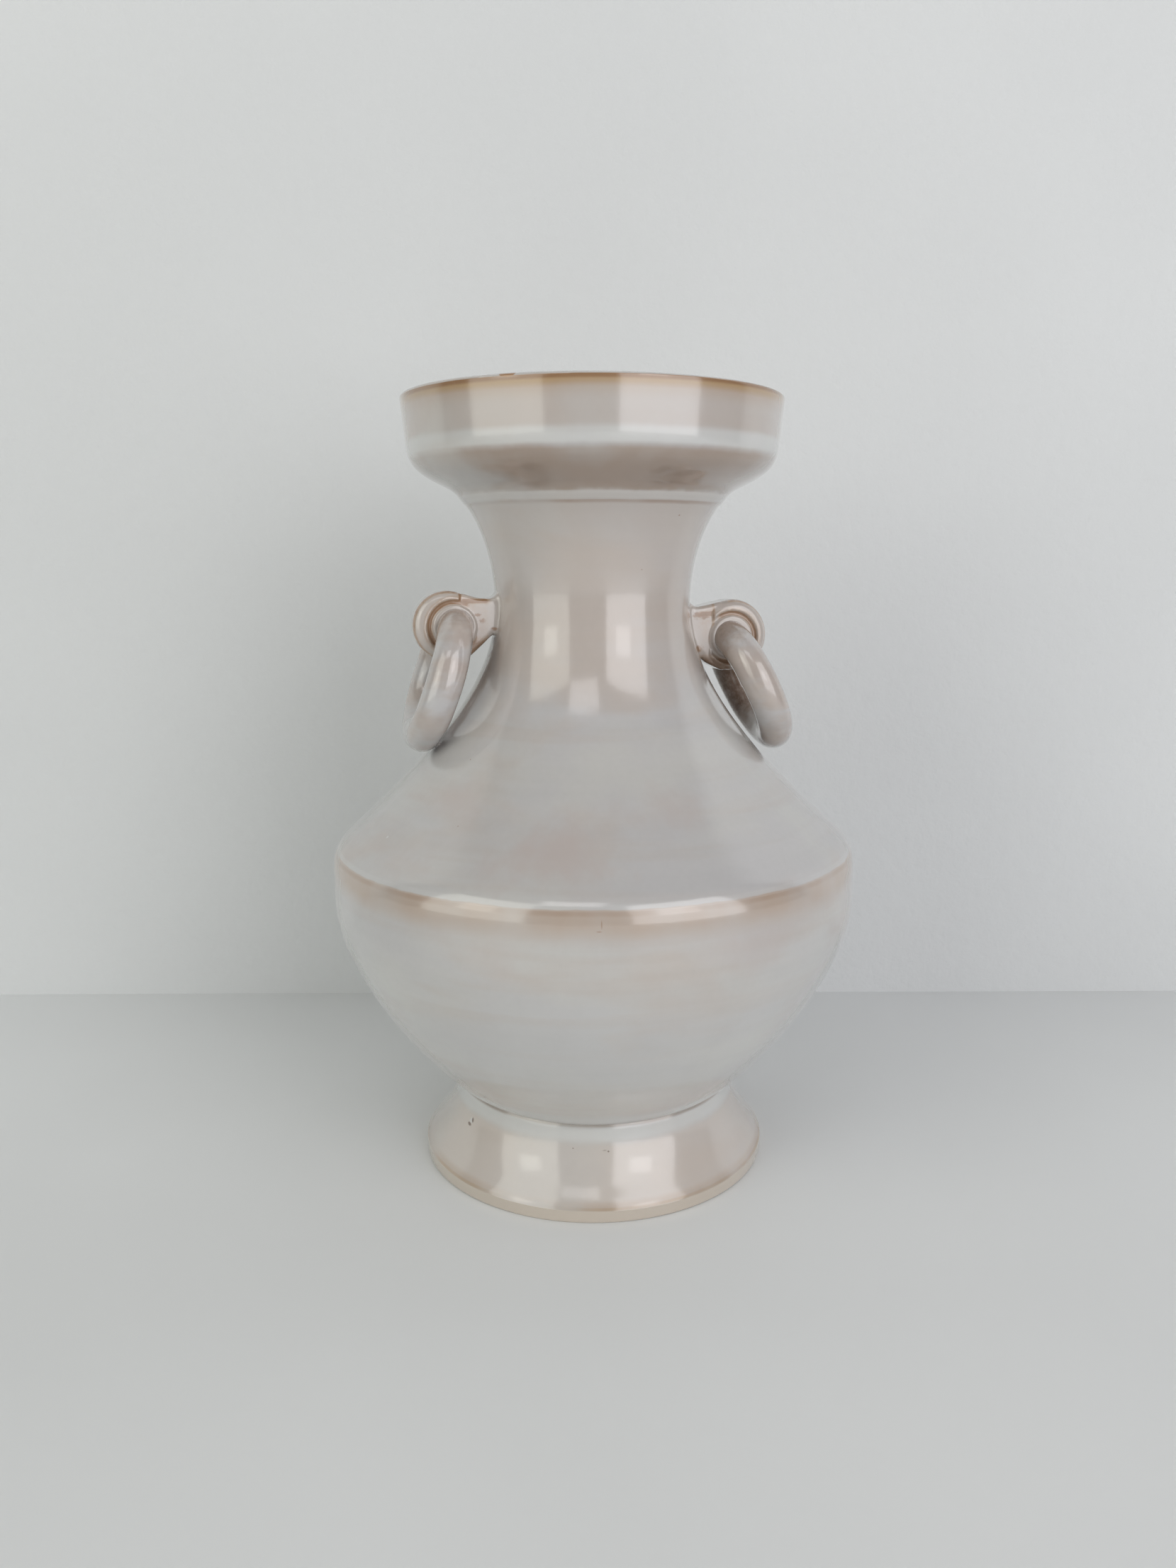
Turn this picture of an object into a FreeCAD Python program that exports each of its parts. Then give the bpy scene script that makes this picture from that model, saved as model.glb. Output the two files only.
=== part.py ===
"""Ceramic vase with a dish mouth, a flared foot and two curled lugs that hold thick rings.

The vase stands on its foot at Z = 0, its axis is Z, and the lugs lie along X. All sizes are in millimetres.
"""
import FreeCAD, Part
import os
import re
import Sketcher

Vector = FreeCAD.Vector
document = FreeCAD.newDocument("ceramic_vase")

# Lengths under this count as nothing
TINY = 1e-6

SIZES = [
    # foot
    ("foot_radius", 70.0),
    ("foot_lip", 4.8),
    ("foot_edge", 0.9),
    ("foot_flare_low_radius", 66.5),
    ("foot_flare_low_height", 10.5),
    ("foot_flare_high_radius", 57.5),
    ("foot_flare_high_height", 17.0),
    ("foot_ring_width", 8.0),
    ("recess_top_radius", 49.0),
    ("recess_depth", 23.0),
    ("recess_edge", 3.0),
    # joint between foot and bowl
    ("joint_radius", 56.5),
    ("joint_height", 32.0),
    # bowl and belly
    ("bowl_low_radius", 66.4),
    ("bowl_low_height", 39.3),
    ("bowl_rise", 30.7),
    ("belly_radius", 103.4),
    ("belly_height", 111.1),
    ("belly_round", 7.9),
    # shoulder, from the belly
    ("shoulder_inset", 10.8),
    ("shoulder_above_belly", 28.9),
    ("shoulder_lean_angle", 47.4),
    ("shoulder_round", 18.1),
    ("shoulder_run", 31.1),
    # neck
    ("neck_radius", 37.9),
    ("neck_above_shoulder", 83.3),
    ("neck_drop", 31.6),
    ("neck_rise", 22.9),
    # dish mouth, each part from the one below
    ("flare_radius", 55.5),
    ("flare_above_neck", 43.6),
    ("flare_lean_angle", 63.8),
    ("flare_below", 8.7),
    ("flare_above", 8.1),
    ("mouth_low_radius", 70.4),
    ("mouth_above_flare", 14.4),
    ("mouth_round", 8.3),
    ("mouth_tuck", 0.8),
    ("rim_radius", 72.1),
    ("mouth_wall_height", 17.7),
    ("lip_height", 1.0),
    ("lip_bevel", 1.0),
    # wall and hollow
    ("wall", 5.5),
    ("floor_radius", 30.0),
    ("floor_thickness", 11.0),
    ("hollow_low_radius", 60.0),
    ("hollow_rise", 31.0),
    ("hollow_belly_round", 6.3),
    ("hollow_mouth_lift", 1.65),
    ("hollow_dish_round", 4.1),
    ("lip_inner_drop", 0.5),
    ("lip_inner_round", 1.4),
    # share of a small round's size at which its control points stand
    ("edge_share", 0.45),
    # lugs
    ("lug_width", 16.0),
    ("lug_barrel", 3.2),
    ("barrel_flat", 4.8),
    ("barrel_tuck", 0.65),
    ("barrel_drop", 1.6),
    ("face_crown", 0.35),
    ("stem_width", 14.0),
    ("stem_edge", 2.4),
    ("stem_root_depth", 2.75),
    ("stem_root_flare", 6.0),
    ("stem_root_dip", 1.5),
    ("stem_throat", 5.0),
    ("stem_over_angle", 5.0),
    ("stem_under_angle", 32.0),
    ("stem_sink", 1.0),
    ("stem_top_share", 0.7),
    ("collar_width", 1.4),
    ("groove_width", 1.0),
    ("groove_depth", 1.1),
    # left lug, from the neck and from its own eye
    ("left_eye_out", 19.3),
    ("left_eye_drop", 7.4),
    ("left_face_width", 0.75),
    ("left_stem_top_rise", 9.5),
    ("left_stem_bottom_drop", 3.9),
    # right lug
    ("right_eye_out", 17.9),
    ("right_eye_drop", 12.7),
    ("right_face_width", 1.55),
    ("right_stem_top_rise", 9.6),
    ("right_stem_bottom_drop", 7.1),
    # rings
    ("tube_radius", 6.85),
    ("ring_radius", 21.5),
    ("seat_gap", 0.2),
    # where a ring lies nearest to the shoulder, as a share of the shoulder's curve
    ("touch_share", 0.42),
    ("left_ring_inset", 2.5),
    ("left_ring_lift", 1.0),
    ("left_shoulder_gap", 0.23),
    ("left_turn_angle", 2.0),
    ("right_ring_inset", 1.1),
    ("right_ring_lift", 0.3),
    ("right_shoulder_gap", 2.77),
    ("right_turn_angle", -4.0),
]

# Sizes that follow from the ones above
FOLLOWING = [
    ("shoulder_radius", "belly_radius - shoulder_inset"),
    ("shoulder_height", "belly_height + shoulder_above_belly"),
    ("neck_height", "shoulder_height + neck_above_shoulder"),
    ("flare_height", "neck_height + flare_above_neck"),
    ("mouth_low_height", "flare_height + mouth_above_flare"),
    ("rim_height", "mouth_low_height + mouth_wall_height"),
    ("shoulder_in_radius", "shoulder_radius - shoulder_run * sin(shoulder_lean_angle)"),
    ("shoulder_in_height", "shoulder_height + shoulder_run * cos(shoulder_lean_angle)"),
    ("neck_low_height", "neck_height - neck_drop"),
    ("collar_radius", "tube_radius + collar_width"),
    ("groove_radius", "collar_radius + groove_width"),
    # weights of the shoulder curve's four control points where a ring is nearest, and of its direction there
    ("far_share", "1 - touch_share"),
    ("weight_first", "far_share ^ 3"),
    ("weight_second", "3 * touch_share * far_share ^ 2"),
    ("weight_last", "touch_share ^ 2 * (3 - 2 * touch_share)"),
    ("touch_radius", "weight_first * shoulder_radius + weight_second * shoulder_in_radius"
                     " + weight_last * neck_radius"),
    ("touch_height", "weight_first * shoulder_height + weight_second * shoulder_in_height"
                     " + 3 * touch_share ^ 2 * far_share * neck_low_height + touch_share ^ 3 * neck_height"),
    ("touch_inward", "far_share ^ 2 * (shoulder_radius - shoulder_in_radius)"
                     " + 2 * touch_share * far_share * (shoulder_in_radius - neck_radius)"),
    ("touch_upward", "far_share ^ 2 * (shoulder_in_height - shoulder_height)"
                     " + 2 * touch_share * far_share * (neck_low_height - shoulder_in_height)"
                     " + touch_share ^ 2 * (neck_height - neck_low_height)"),
    ("touch_slope_angle", "atan(touch_inward / touch_upward) / 1 deg"),
]

# Sizes that follow for each side, with the side's name in place of SIDE
FOLLOWING_BY_SIDE = [
    ("SIDE_eye_reach", "neck_radius + SIDE_eye_out"),
    ("SIDE_eye_height", "neck_height - SIDE_eye_drop"),
    ("SIDE_eye_radius", "groove_radius + SIDE_face_width + lug_barrel"),
    ("SIDE_stem_top", "SIDE_eye_height + SIDE_stem_top_rise"),
    ("SIDE_stem_bottom", "SIDE_eye_height - SIDE_stem_bottom_drop"),
    ("SIDE_ring_reach", "SIDE_eye_reach - SIDE_ring_inset"),
    ("SIDE_ring_top", "SIDE_eye_height + SIDE_ring_lift"),
    # how far the ring's top stands out from the shoulder's surface, and the swing that brings its foot near it
    ("SIDE_ring_stand", "cos(touch_slope_angle) * (SIDE_ring_reach - touch_radius)"
                        " + sin(touch_slope_angle) * (SIDE_ring_top - touch_height)"),
    ("SIDE_tilt_angle", "touch_slope_angle"
                        " - asin((SIDE_ring_stand - tube_radius - SIDE_shoulder_gap) / (2 * ring_radius)) / 1 deg"),
]

# For each side, which way its lug points along X and how its stem is turned about Z
SIDES = {"left": ("-1", 180), "right": ("1", 0)}


def make_sheet():
    """The driving dimensions and those that follow from them, one row each, with the name as alias."""
    sheet = document.addObject("Spreadsheet::Sheet", "Sizes")
    rows = [(name, str(value)) for name, value in SIZES]
    rows += [(name, f"={formula}") for name, formula in FOLLOWING]
    for side in SIDES:
        rows += [(name.replace("SIDE", side), "=" + formula.replace("SIDE", side))
                 for name, formula in FOLLOWING_BY_SIDE]
    for row, (name, content) in enumerate(rows, 1):
        sheet.set(f"A{row}", name)
        sheet.setAlias(f"B{row}", name)
    for row, (name, content) in enumerate(rows, 1):
        sheet.set(f"B{row}", content)
    document.recompute()
    return sheet


sheet = make_sheet()


def bound(formula):
    """The formula with every size read from the sheet; sin and cos take degrees."""
    return re.sub(r"\b([a-z][a-z_]*)\b(?!\()", r"Sizes.\1", formula)


def value_of(formula):
    return float(sheet.evalExpression(bound(formula)))


def pin(sketch, geometry, point, label, across, up):
    """Holds a point of a sketch at two formulas, or on the sketch's axis where one is 0.

    Sketches number their level axis -1 and their upright axis -2, and a curve's ends 1 and 2 and its centre 3.
    """
    places = (("DistanceX", across, -2, "across"), ("DistanceY", up, -1, "up"))
    for kind, formula, axis, word in places:
        if formula == "0":
            sketch.addConstraint(Sketcher.Constraint("PointOnObject", geometry, point, axis))
            continue
        held = Sketcher.Constraint(kind, -1, 1, geometry, point, value_of(formula))
        index = sketch.addConstraint(held)
        sketch.renameConstraint(index, f"{label}_{word}")
        sketch.setExpression(f"Constraints.{label}_{word}", bound(formula))


def add_curve(sketch, label, points):
    """A cubic curve with four control points, the inner two held at their formulas."""
    poles = [Vector(value_of(across), value_of(up), 0) for across, up in points]
    curve = Part.BSplineCurve()
    curve.buildFromPolesMultsKnots(poles, [4, 4], [0.0, 1.0], False, 3)
    spline = sketch.addGeometry(curve, False)
    handles = []
    for number, pole in enumerate(poles):
        handle = sketch.addGeometry(Part.Circle(pole, Vector(0, 0, 1), 1.0), True)
        link = "InternalAlignment:Sketcher::BSplineControlPoint"
        sketch.addConstraint(Sketcher.Constraint(link, handle, 3, spline, number))
        if handles:
            sketch.addConstraint(Sketcher.Constraint("Equal", handles[0], handle))
        else:
            sketch.addConstraint(Sketcher.Constraint("Weight", handle, 1.0))
        handles.append(handle)
    for number in (1, 2):
        pin(sketch, handles[number], 3, f"{label}_handle{number}", *points[number])
    return spline


def add_outline(sketch, spans):
    """A closed outline from named spans: two points make a line and four a cubic curve."""
    pieces = []
    for label, points in spans:
        if len(points) == 2:
            ends = [Vector(value_of(across), value_of(up), 0) for across, up in points]
            pieces.append(sketch.addGeometry(Part.LineSegment(*ends), False))
        else:
            pieces.append(add_curve(sketch, label, points))
    for number, (label, points) in enumerate(spans):
        sketch.addConstraint(Sketcher.Constraint("Coincident", pieces[number - 1], 2, pieces[number], 1))
        pin(sketch, pieces[number], 1, label, *points[0])


def plane(body, role):
    return next(item for item in body.Origin.OriginFeatures if item.Role == role)


def new_body(name):
    body = document.addObject("PartDesign::Body", name)
    body.Label = name
    return body


def new_sketch(body, name, role, spans):
    sketch = body.newObject("Sketcher::SketchObject", name)
    sketch.AttachmentSupport = (plane(body, role), [""])
    sketch.MapMode = "FlatFace"
    add_outline(sketch, spans)
    return sketch


def turn(body, name, kind, sketch):
    """A full turn of the sketch about its upright axis."""
    feature = body.newObject(kind, name)
    feature.Profile = sketch
    feature.ReferenceAxis = (sketch, ["V_Axis"])
    feature.Angle = 360
    sketch.Visibility = False
    return feature


# Control points where two curves meet with one direction
SHOULDER_OUT = ("shoulder_radius + shoulder_round * sin(shoulder_lean_angle)",
                "shoulder_height - shoulder_round * cos(shoulder_lean_angle)")
FLARE_BELOW = ("flare_radius - flare_below * sin(flare_lean_angle)",
               "flare_height - flare_below * cos(flare_lean_angle)")
FLARE_ABOVE = ("flare_radius + flare_above * sin(flare_lean_angle)",
               "flare_height + flare_above * cos(flare_lean_angle)")


def thrown_vessel():
    """The vessel as thrown and turned, solid, with the recess under its foot."""
    joint = ("joint_radius", "joint_height")
    belly = ("belly_radius", "belly_height")
    shoulder = ("shoulder_radius", "shoulder_height")
    neck = ("neck_radius", "neck_height")
    flare = ("flare_radius", "flare_height")
    mouth = ("mouth_low_radius", "mouth_low_height")
    rim = ("rim_radius", "rim_height")
    lip = ("rim_radius - lip_bevel", "rim_height + lip_height")
    centre_top = ("0", "rim_height + lip_height")
    centre = ("0", "0")
    foot_inner = ("foot_radius - foot_edge", "0")
    foot_outer = ("foot_radius", "foot_edge")
    foot_top = ("foot_radius", "foot_lip")
    spans = [
        ("base", [centre, foot_inner]),
        ("foot_round", [foot_inner, ("foot_radius - edge_share * foot_edge", "0"),
                        ("foot_radius", "edge_share * foot_edge"), foot_outer]),
        ("foot_band", [foot_outer, foot_top]),
        ("foot_flare", [foot_top, ("foot_flare_low_radius", "foot_flare_low_height"),
                        ("foot_flare_high_radius", "foot_flare_high_height"), joint]),
        ("bowl", [joint, ("bowl_low_radius", "bowl_low_height"),
                  ("belly_radius", "belly_height - bowl_rise"), belly]),
        ("belly", [belly, ("belly_radius", "belly_height + belly_round"), SHOULDER_OUT, shoulder]),
        ("shoulder", [shoulder, ("shoulder_in_radius", "shoulder_in_height"), ("neck_radius", "neck_low_height"),
                      neck]),
        ("neck", [neck, ("neck_radius", "neck_height + neck_rise"), FLARE_BELOW, flare]),
        ("mouth", [flare, FLARE_ABOVE, ("mouth_low_radius - mouth_tuck", "mouth_low_height - mouth_round"), mouth]),
        ("mouth_wall", [mouth, rim]),
        ("lip", [rim, lip]),
        ("top", [lip, centre_top]),
        ("axis", [centre_top, centre]),
    ]
    body = new_body("thrown_vessel")
    turn(body, "vessel_turned", "PartDesign::Revolution", new_sketch(body, "vessel_outline", "XZ_Plane", spans))
    ring_inside = ("foot_radius - foot_ring_width", "0")
    side_top = ("recess_top_radius", "recess_depth - recess_edge")
    round_top = ("recess_top_radius - recess_edge", "recess_depth")
    recess_centre = ("0", "recess_depth")
    recess = [
        ("recess_base", [centre, ring_inside]),
        ("recess_side", [ring_inside, side_top]),
        ("recess_round", [side_top, ("recess_top_radius", "recess_depth - edge_share * recess_edge"),
                          ("recess_top_radius - edge_share * recess_edge", "recess_depth"), round_top]),
        ("recess_top", [round_top, recess_centre]),
        ("recess_axis", [recess_centre, centre]),
    ]
    turn(body, "foot_recess", "PartDesign::Groove", new_sketch(body, "recess_outline", "XZ_Plane", recess))
    return body


def hollow():
    """The space inside the vessel, one wall in from its outside."""
    lean_out = "wall * cos(shoulder_lean_angle)"
    lean_down = "wall * sin(shoulder_lean_angle)"
    flare_in = "wall * cos(flare_lean_angle)"
    flare_up = "wall * sin(flare_lean_angle)"
    floor = "recess_depth + floor_thickness"
    top = "rim_height + lip_height"
    floor_centre = ("0", floor)
    floor_end = ("floor_radius", floor)
    belly = ("belly_radius - wall", "belly_height")
    shoulder = (f"shoulder_radius - {lean_out}", f"shoulder_height - {lean_down}")
    neck = ("neck_radius - wall", "neck_height")
    flare = (f"flare_radius - {flare_in}", f"flare_height + {flare_up}")
    mouth = ("mouth_low_radius - wall", "mouth_low_height + hollow_mouth_lift")
    lip_low = ("rim_radius - wall", "rim_height - lip_inner_drop")
    lip_top = ("rim_radius - wall + lip_inner_round", top)
    centre_top = ("0", top)
    spans = [
        ("floor", [floor_centre, floor_end]),
        ("hollow_bowl", [floor_end, ("hollow_low_radius", floor),
                         ("belly_radius - wall", "belly_height - hollow_rise"), belly]),
        ("hollow_belly", [belly, ("belly_radius - wall", "belly_height + hollow_belly_round"),
                          (f"{SHOULDER_OUT[0]} - {lean_out}", f"{SHOULDER_OUT[1]} - {lean_down}"), shoulder]),
        ("hollow_shoulder", [shoulder, (f"shoulder_in_radius - {lean_out}", f"shoulder_in_height - {lean_down}"),
                             ("neck_radius - wall", "neck_low_height"), neck]),
        ("hollow_neck", [neck, ("neck_radius - wall", "neck_height + neck_rise"),
                         (f"{FLARE_BELOW[0]} - {flare_in}", f"{FLARE_BELOW[1]} + {flare_up}"), flare]),
        ("hollow_dish", [flare, (f"{FLARE_ABOVE[0]} - {flare_in}", f"{FLARE_ABOVE[1]} + {flare_up}"),
                         ("mouth_low_radius - wall - mouth_tuck", "mouth_low_height - hollow_dish_round"), mouth]),
        ("hollow_mouth", [mouth, lip_low]),
        ("lip_inside", [lip_low, ("rim_radius - wall", f"{top} - edge_share * lip_height"),
                        ("rim_radius - wall + edge_share * lip_inner_round", top), lip_top]),
        ("lid", [lip_top, centre_top]),
        ("hollow_axis", [centre_top, floor_centre]),
    ]
    body = new_body("hollow")
    turn(body, "hollow_turned", "PartDesign::Revolution", new_sketch(body, "hollow_outline", "XZ_Plane", spans))
    return body


def lug_eye(side):
    """The round end of a lug: a barrel with a groove and a collar round the ring on each face."""
    radius = f"{side}_eye_radius"
    edge = f"{radius} - lug_barrel"
    half = "lug_width / 2"
    waist = (radius, "0")
    barrel_end = (edge, f"{half} - face_crown")
    groove_top = ("groove_radius", f"{half} - groove_depth")
    collar_low = ("collar_radius", f"{half} - groove_depth")
    collar_top = ("collar_radius", half)
    middle_top = ("0", half)
    upper = [
        ("barrel_high", [waist, (radius, "barrel_flat"), (f"{radius} - barrel_tuck", f"{half} - barrel_drop"),
                         barrel_end]),
        ("face_high", [barrel_end, (f"{edge} - face_crown", half), ("groove_radius + face_crown", half), groove_top]),
        ("groove_high", [groove_top, collar_low]),
        ("collar_high", [collar_low, collar_top]),
        ("end_high", [collar_top, middle_top]),
    ]
    lower = []
    for label, points in reversed(upper):
        flipped = [(across, up if up == "0" else f"-({up})") for across, up in reversed(points)]
        lower.append((label.replace("high", "low"), flipped))
    axis = [("eye_axis", [middle_top, ("0", f"-({half})")])]
    body = new_body(f"{side}_eye")
    sketch = new_sketch(body, f"{side}_eye_outline", "XY_Plane", upper + axis + lower)
    turn(body, f"{side}_eye_turned", "PartDesign::Revolution", sketch)
    body.setExpression("Placement.Base.x", bound(f"{SIDES[side][0]} * {side}_eye_reach"))
    body.setExpression("Placement.Base.z", bound(f"{side}_eye_height"))
    return body


def lug_stem(side):
    """The strap that carries an eye: it leaves the neck, flares into it and ends inside the eye's barrel."""
    reach = f"{side}_eye_reach"
    height = f"{side}_eye_height"
    radius = f"{side}_eye_radius"
    top = f"{side}_stem_top"
    bottom = f"{side}_stem_bottom"
    inside = "neck_radius - stem_root_depth"
    hold = f"({radius} - lug_barrel - stem_sink)"
    root_top = (inside, f"{top} + stem_root_flare")
    root_bottom = (inside, f"{bottom} - stem_root_flare")
    over = (f"{reach} - {hold} * sin(stem_over_angle)", f"{height} + {hold} * cos(stem_over_angle)")
    under = (f"{reach} - {hold} * sin(stem_under_angle)", f"{height} - {hold} * cos(stem_under_angle)")
    spans = [
        ("root", [root_top, root_bottom]),
        ("underside", [root_bottom, ("neck_radius", bottom), ("neck_radius + stem_throat", bottom), under]),
        ("end", [under, over]),
        ("topside", [over, (f"{reach} - stem_top_share * {radius}", f"{height} + {radius}"),
                     ("neck_radius", f"{top} - stem_root_dip"), root_top]),
    ]
    body = new_body(f"{side}_stem")
    sketch = new_sketch(body, f"{side}_stem_outline", "XZ_Plane", spans)
    pad = body.newObject("PartDesign::Pad", f"{side}_stem_pad")
    pad.Profile = sketch
    pad.setExpression("Length", bound("stem_width"))
    pad.Midplane = True
    sketch.Visibility = False
    document.recompute()
    long_edges = []
    for number, edge in enumerate(pad.Shape.Edges, 1):
        width = edge.valueAt(edge.FirstParameter).y - edge.valueAt(edge.LastParameter).y
        if edge.Curve.TypeId == "Part::GeomBSplineCurve" and abs(width) < TINY:
            long_edges.append(f"Edge{number}")
    fillet = body.newObject("PartDesign::Fillet", f"{side}_stem_edges")
    fillet.Base = (pad, long_edges)
    fillet.setExpression("Radius", bound("stem_edge"))
    body.Placement = FreeCAD.Placement(Vector(), FreeCAD.Rotation(SIDES[side][1], 0, 0))
    return body


def ring(name, side, tube):
    """A ring that hangs from a lug's eye, its lower side swung away from the vessel."""
    sign, yaw = SIDES[side]
    torus = document.addObject("Part::Torus", name)
    torus.Label = name
    torus.setExpression("Radius1", bound("ring_radius"))
    torus.setExpression("Radius2", bound(tube))
    heading = f"({yaw} + {side}_turn_angle)"
    swing = f"ring_radius * sin({side}_tilt_angle)"
    x = f"{sign} * {side}_ring_reach + {swing} * cos{heading}"
    y = f"{swing} * sin{heading}"
    z = f"{side}_ring_top - ring_radius * cos({side}_tilt_angle)"
    place = f"vector({x}; {y}; {z})"
    turned = f"rotation({heading}; 90 - {side}_tilt_angle; 0)"
    torus.setExpression("Placement", bound(f"placement({place}; {turned})"))
    return torus


def vase_body():
    """The whole fired body: vessel and lugs joined, then hollowed, with a channel through each eye."""
    joined = document.addObject("Part::MultiFuse", "joined_clay")
    joined.Shapes = [thrown_vessel(), lug_eye("left"), lug_stem("left"), lug_eye("right"), lug_stem("right")]
    hollowed = document.addObject("Part::Cut", "hollowed_clay")
    hollowed.Base = joined
    hollowed.Tool = hollow()
    channels = document.addObject("Part::MultiFuse", "ring_channels")
    channels.Shapes = [ring(f"{side}_channel", side, "tube_radius + seat_gap") for side in SIDES]
    body = document.addObject("Part::Cut", "vase_body")
    body.Label = "vase_body"
    body.Base = hollowed
    body.Tool = channels
    return body


parts = [vase_body()] + [ring(f"{side}_ring", side, "tube_radius") for side in SIDES]
document.recompute()

for item in document.Objects:
    if "Invalid" in item.State or "Error" in item.State:
        raise RuntimeError(f"{item.Label} failed: {item.State}")

os.makedirs("parts", exist_ok=True)
for part in parts:
    if part.Shape.isNull() or not part.Shape.isValid():
        raise RuntimeError(f"{part.Label} has no valid shape")
for part in parts:
    part.Shape.exportStep(f"parts/{part.Label}.step")
    box = part.Shape.BoundBox
    print(part.Label, "solids", len(part.Shape.Solids), "volume", round(part.Shape.Volume, 1), "box",
          [round(v, 2) for v in (box.XMin, box.YMin, box.ZMin, box.XMax, box.YMax, box.ZMax)])
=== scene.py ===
"""Glazed ceramic vase with a dish mouth, a flared foot and two curled lugs that hold thick rings.

Lengths are in metres. The vase stands on Z = 0, its axis is Z, and its lugs lie along X.
"""

import bisect
import math
from types import SimpleNamespace

import bpy
from bpy.props import FloatProperty, FloatVectorProperty, IntProperty, PointerProperty
from mathutils import Euler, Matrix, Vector


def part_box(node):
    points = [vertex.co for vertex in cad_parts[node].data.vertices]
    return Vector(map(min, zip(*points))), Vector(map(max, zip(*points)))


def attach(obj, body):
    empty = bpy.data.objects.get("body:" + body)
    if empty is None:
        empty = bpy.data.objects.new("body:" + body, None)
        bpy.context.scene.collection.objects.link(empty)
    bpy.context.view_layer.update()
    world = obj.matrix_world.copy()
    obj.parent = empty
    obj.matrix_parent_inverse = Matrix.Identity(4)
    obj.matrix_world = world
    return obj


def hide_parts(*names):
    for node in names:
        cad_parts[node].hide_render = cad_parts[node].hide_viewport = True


bl_info = {
    "name": "Ring-handled vase",
    "version": (1, 0, 0),
    "blender": (4, 5, 0),
    "location": "3D View > Sidebar > Vase",
    "description": "Models and glazes a ceramic vase with two ring handles",
    "category": "Object",
}

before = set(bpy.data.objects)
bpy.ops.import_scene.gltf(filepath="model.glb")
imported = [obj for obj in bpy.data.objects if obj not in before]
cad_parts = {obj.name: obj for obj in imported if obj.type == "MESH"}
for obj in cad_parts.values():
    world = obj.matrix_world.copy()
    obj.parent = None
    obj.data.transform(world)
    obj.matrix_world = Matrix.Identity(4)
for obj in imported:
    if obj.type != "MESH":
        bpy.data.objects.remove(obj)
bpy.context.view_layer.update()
BODY_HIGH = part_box("vase_body")[1]
MM = 0.001


def length(name, description, millimetres):
    """A size that the user can change, given here in millimetres."""
    return FloatProperty(name=name, description=description, default=millimetres * MM, unit="LENGTH",
                         precision=5)


def turn(name, description, degrees):
    """An angle that the user can change, given here in degrees."""
    return FloatProperty(name=name, description=description, default=math.radians(degrees), subtype="ANGLE")


def shade(name, description, colour):
    """A colour that the user can change."""
    return FloatVectorProperty(name=name, description=description, default=colour, size=3, min=0, max=1,
                               subtype="COLOR")


def share(name, description, value):
    """A share from 0 to 1 that the user can change."""
    return FloatProperty(name=name, description=description, default=value, min=0, max=1, subtype="FACTOR")


class VesselSizes(bpy.types.PropertyGroup):
    """The thrown body, from the foot up."""

    foot_radius: length("Foot radius", "Radius of the foot's lip", 70.0)
    foot_lip: length("Foot lip", "Height of the upright lip round the foot", 4.8)
    recess_radius: length("Recess radius", "Radius of the hollow under the foot, at its top", 49.0)
    recess_depth: length("Recess depth", "Depth of the hollow under the foot", 23.0)
    joint_radius: length("Joint radius", "Radius where the foot meets the bowl", 56.5)
    joint_height: length("Joint height", "Height where the foot meets the bowl", 32.0)
    belly_radius: length("Belly radius", "Widest radius", 103.4)
    belly_height: length("Belly height", "Height of the widest place", 111.1)
    shoulder_radius: length("Shoulder radius", "Radius just inside the shoulder's arris", 92.2)
    shoulder_height: length("Shoulder height", "Height just inside the shoulder's arris", 139.7)
    arris: length("Arris", "Distance from there to the tight turn at the arris", 8.9)
    neck_radius: length("Neck radius", "Narrowest radius", 37.9)
    neck_height: length("Neck height", "Height of the narrowest place", 223.3)
    flare_radius: length("Flare radius", "Radius where the neck turns out to the mouth", 55.5)
    flare_height: length("Flare height", "Height where the neck turns out to the mouth", 266.9)
    mouth_radius: length("Mouth radius", "Radius at the foot of the dish's wall", 70.4)
    mouth_height: length("Mouth height", "Height at the foot of the dish's wall", 281.3)
    rim_radius: length("Rim radius", "Radius at the rim", 72.1)
    rim_height: FloatProperty(name="Rim height", description="Height of the rim", default=BODY_HIGH.z,
                              unit="LENGTH")
    wall: length("Wall", "Thickness of the wall", 5.5)
    floor_height: length("Floor height", "Height of the floor inside", 34.0)
    neck_band: length("Neck band", "How far the glaze stands out in the band under the mouth", 0.4)
    mouth_tilt: turn("Mouth tilt", "How far the mouth leans down to the right", 0.35)
    unevenness: length("Unevenness", "How far the hand-made surface wanders", 0.45)
    segments: IntProperty(name="Segments", description="Steps round the vessel", default=256, min=32, max=320)


class LugSizes(bpy.types.PropertyGroup):
    """The two curled lugs."""

    width: length("Width", "Width of an eye, from face to face", 16.0)
    stem_width: length("Stem width", "Width of the strap between the neck and the eye", 13.4)
    edge: length("Edge", "Rounding of an eye's edges", 3.9)
    grain: length("Grain", "Size of the small steps that the clay is modelled in", 0.42)
    left_reach: length("Left reach", "Distance of the left eye from the axis", 57.2)
    left_height: length("Left height", "Height of the left eye", 215.9)
    left_radius: length("Left radius", "Radius of the left eye", 13.2)
    right_reach: length("Right reach", "Distance of the right eye from the axis", 55.8)
    right_height: length("Right height", "Height of the right eye", 210.6)
    right_radius: length("Right radius", "Radius of the right eye", 14.0)


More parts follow.
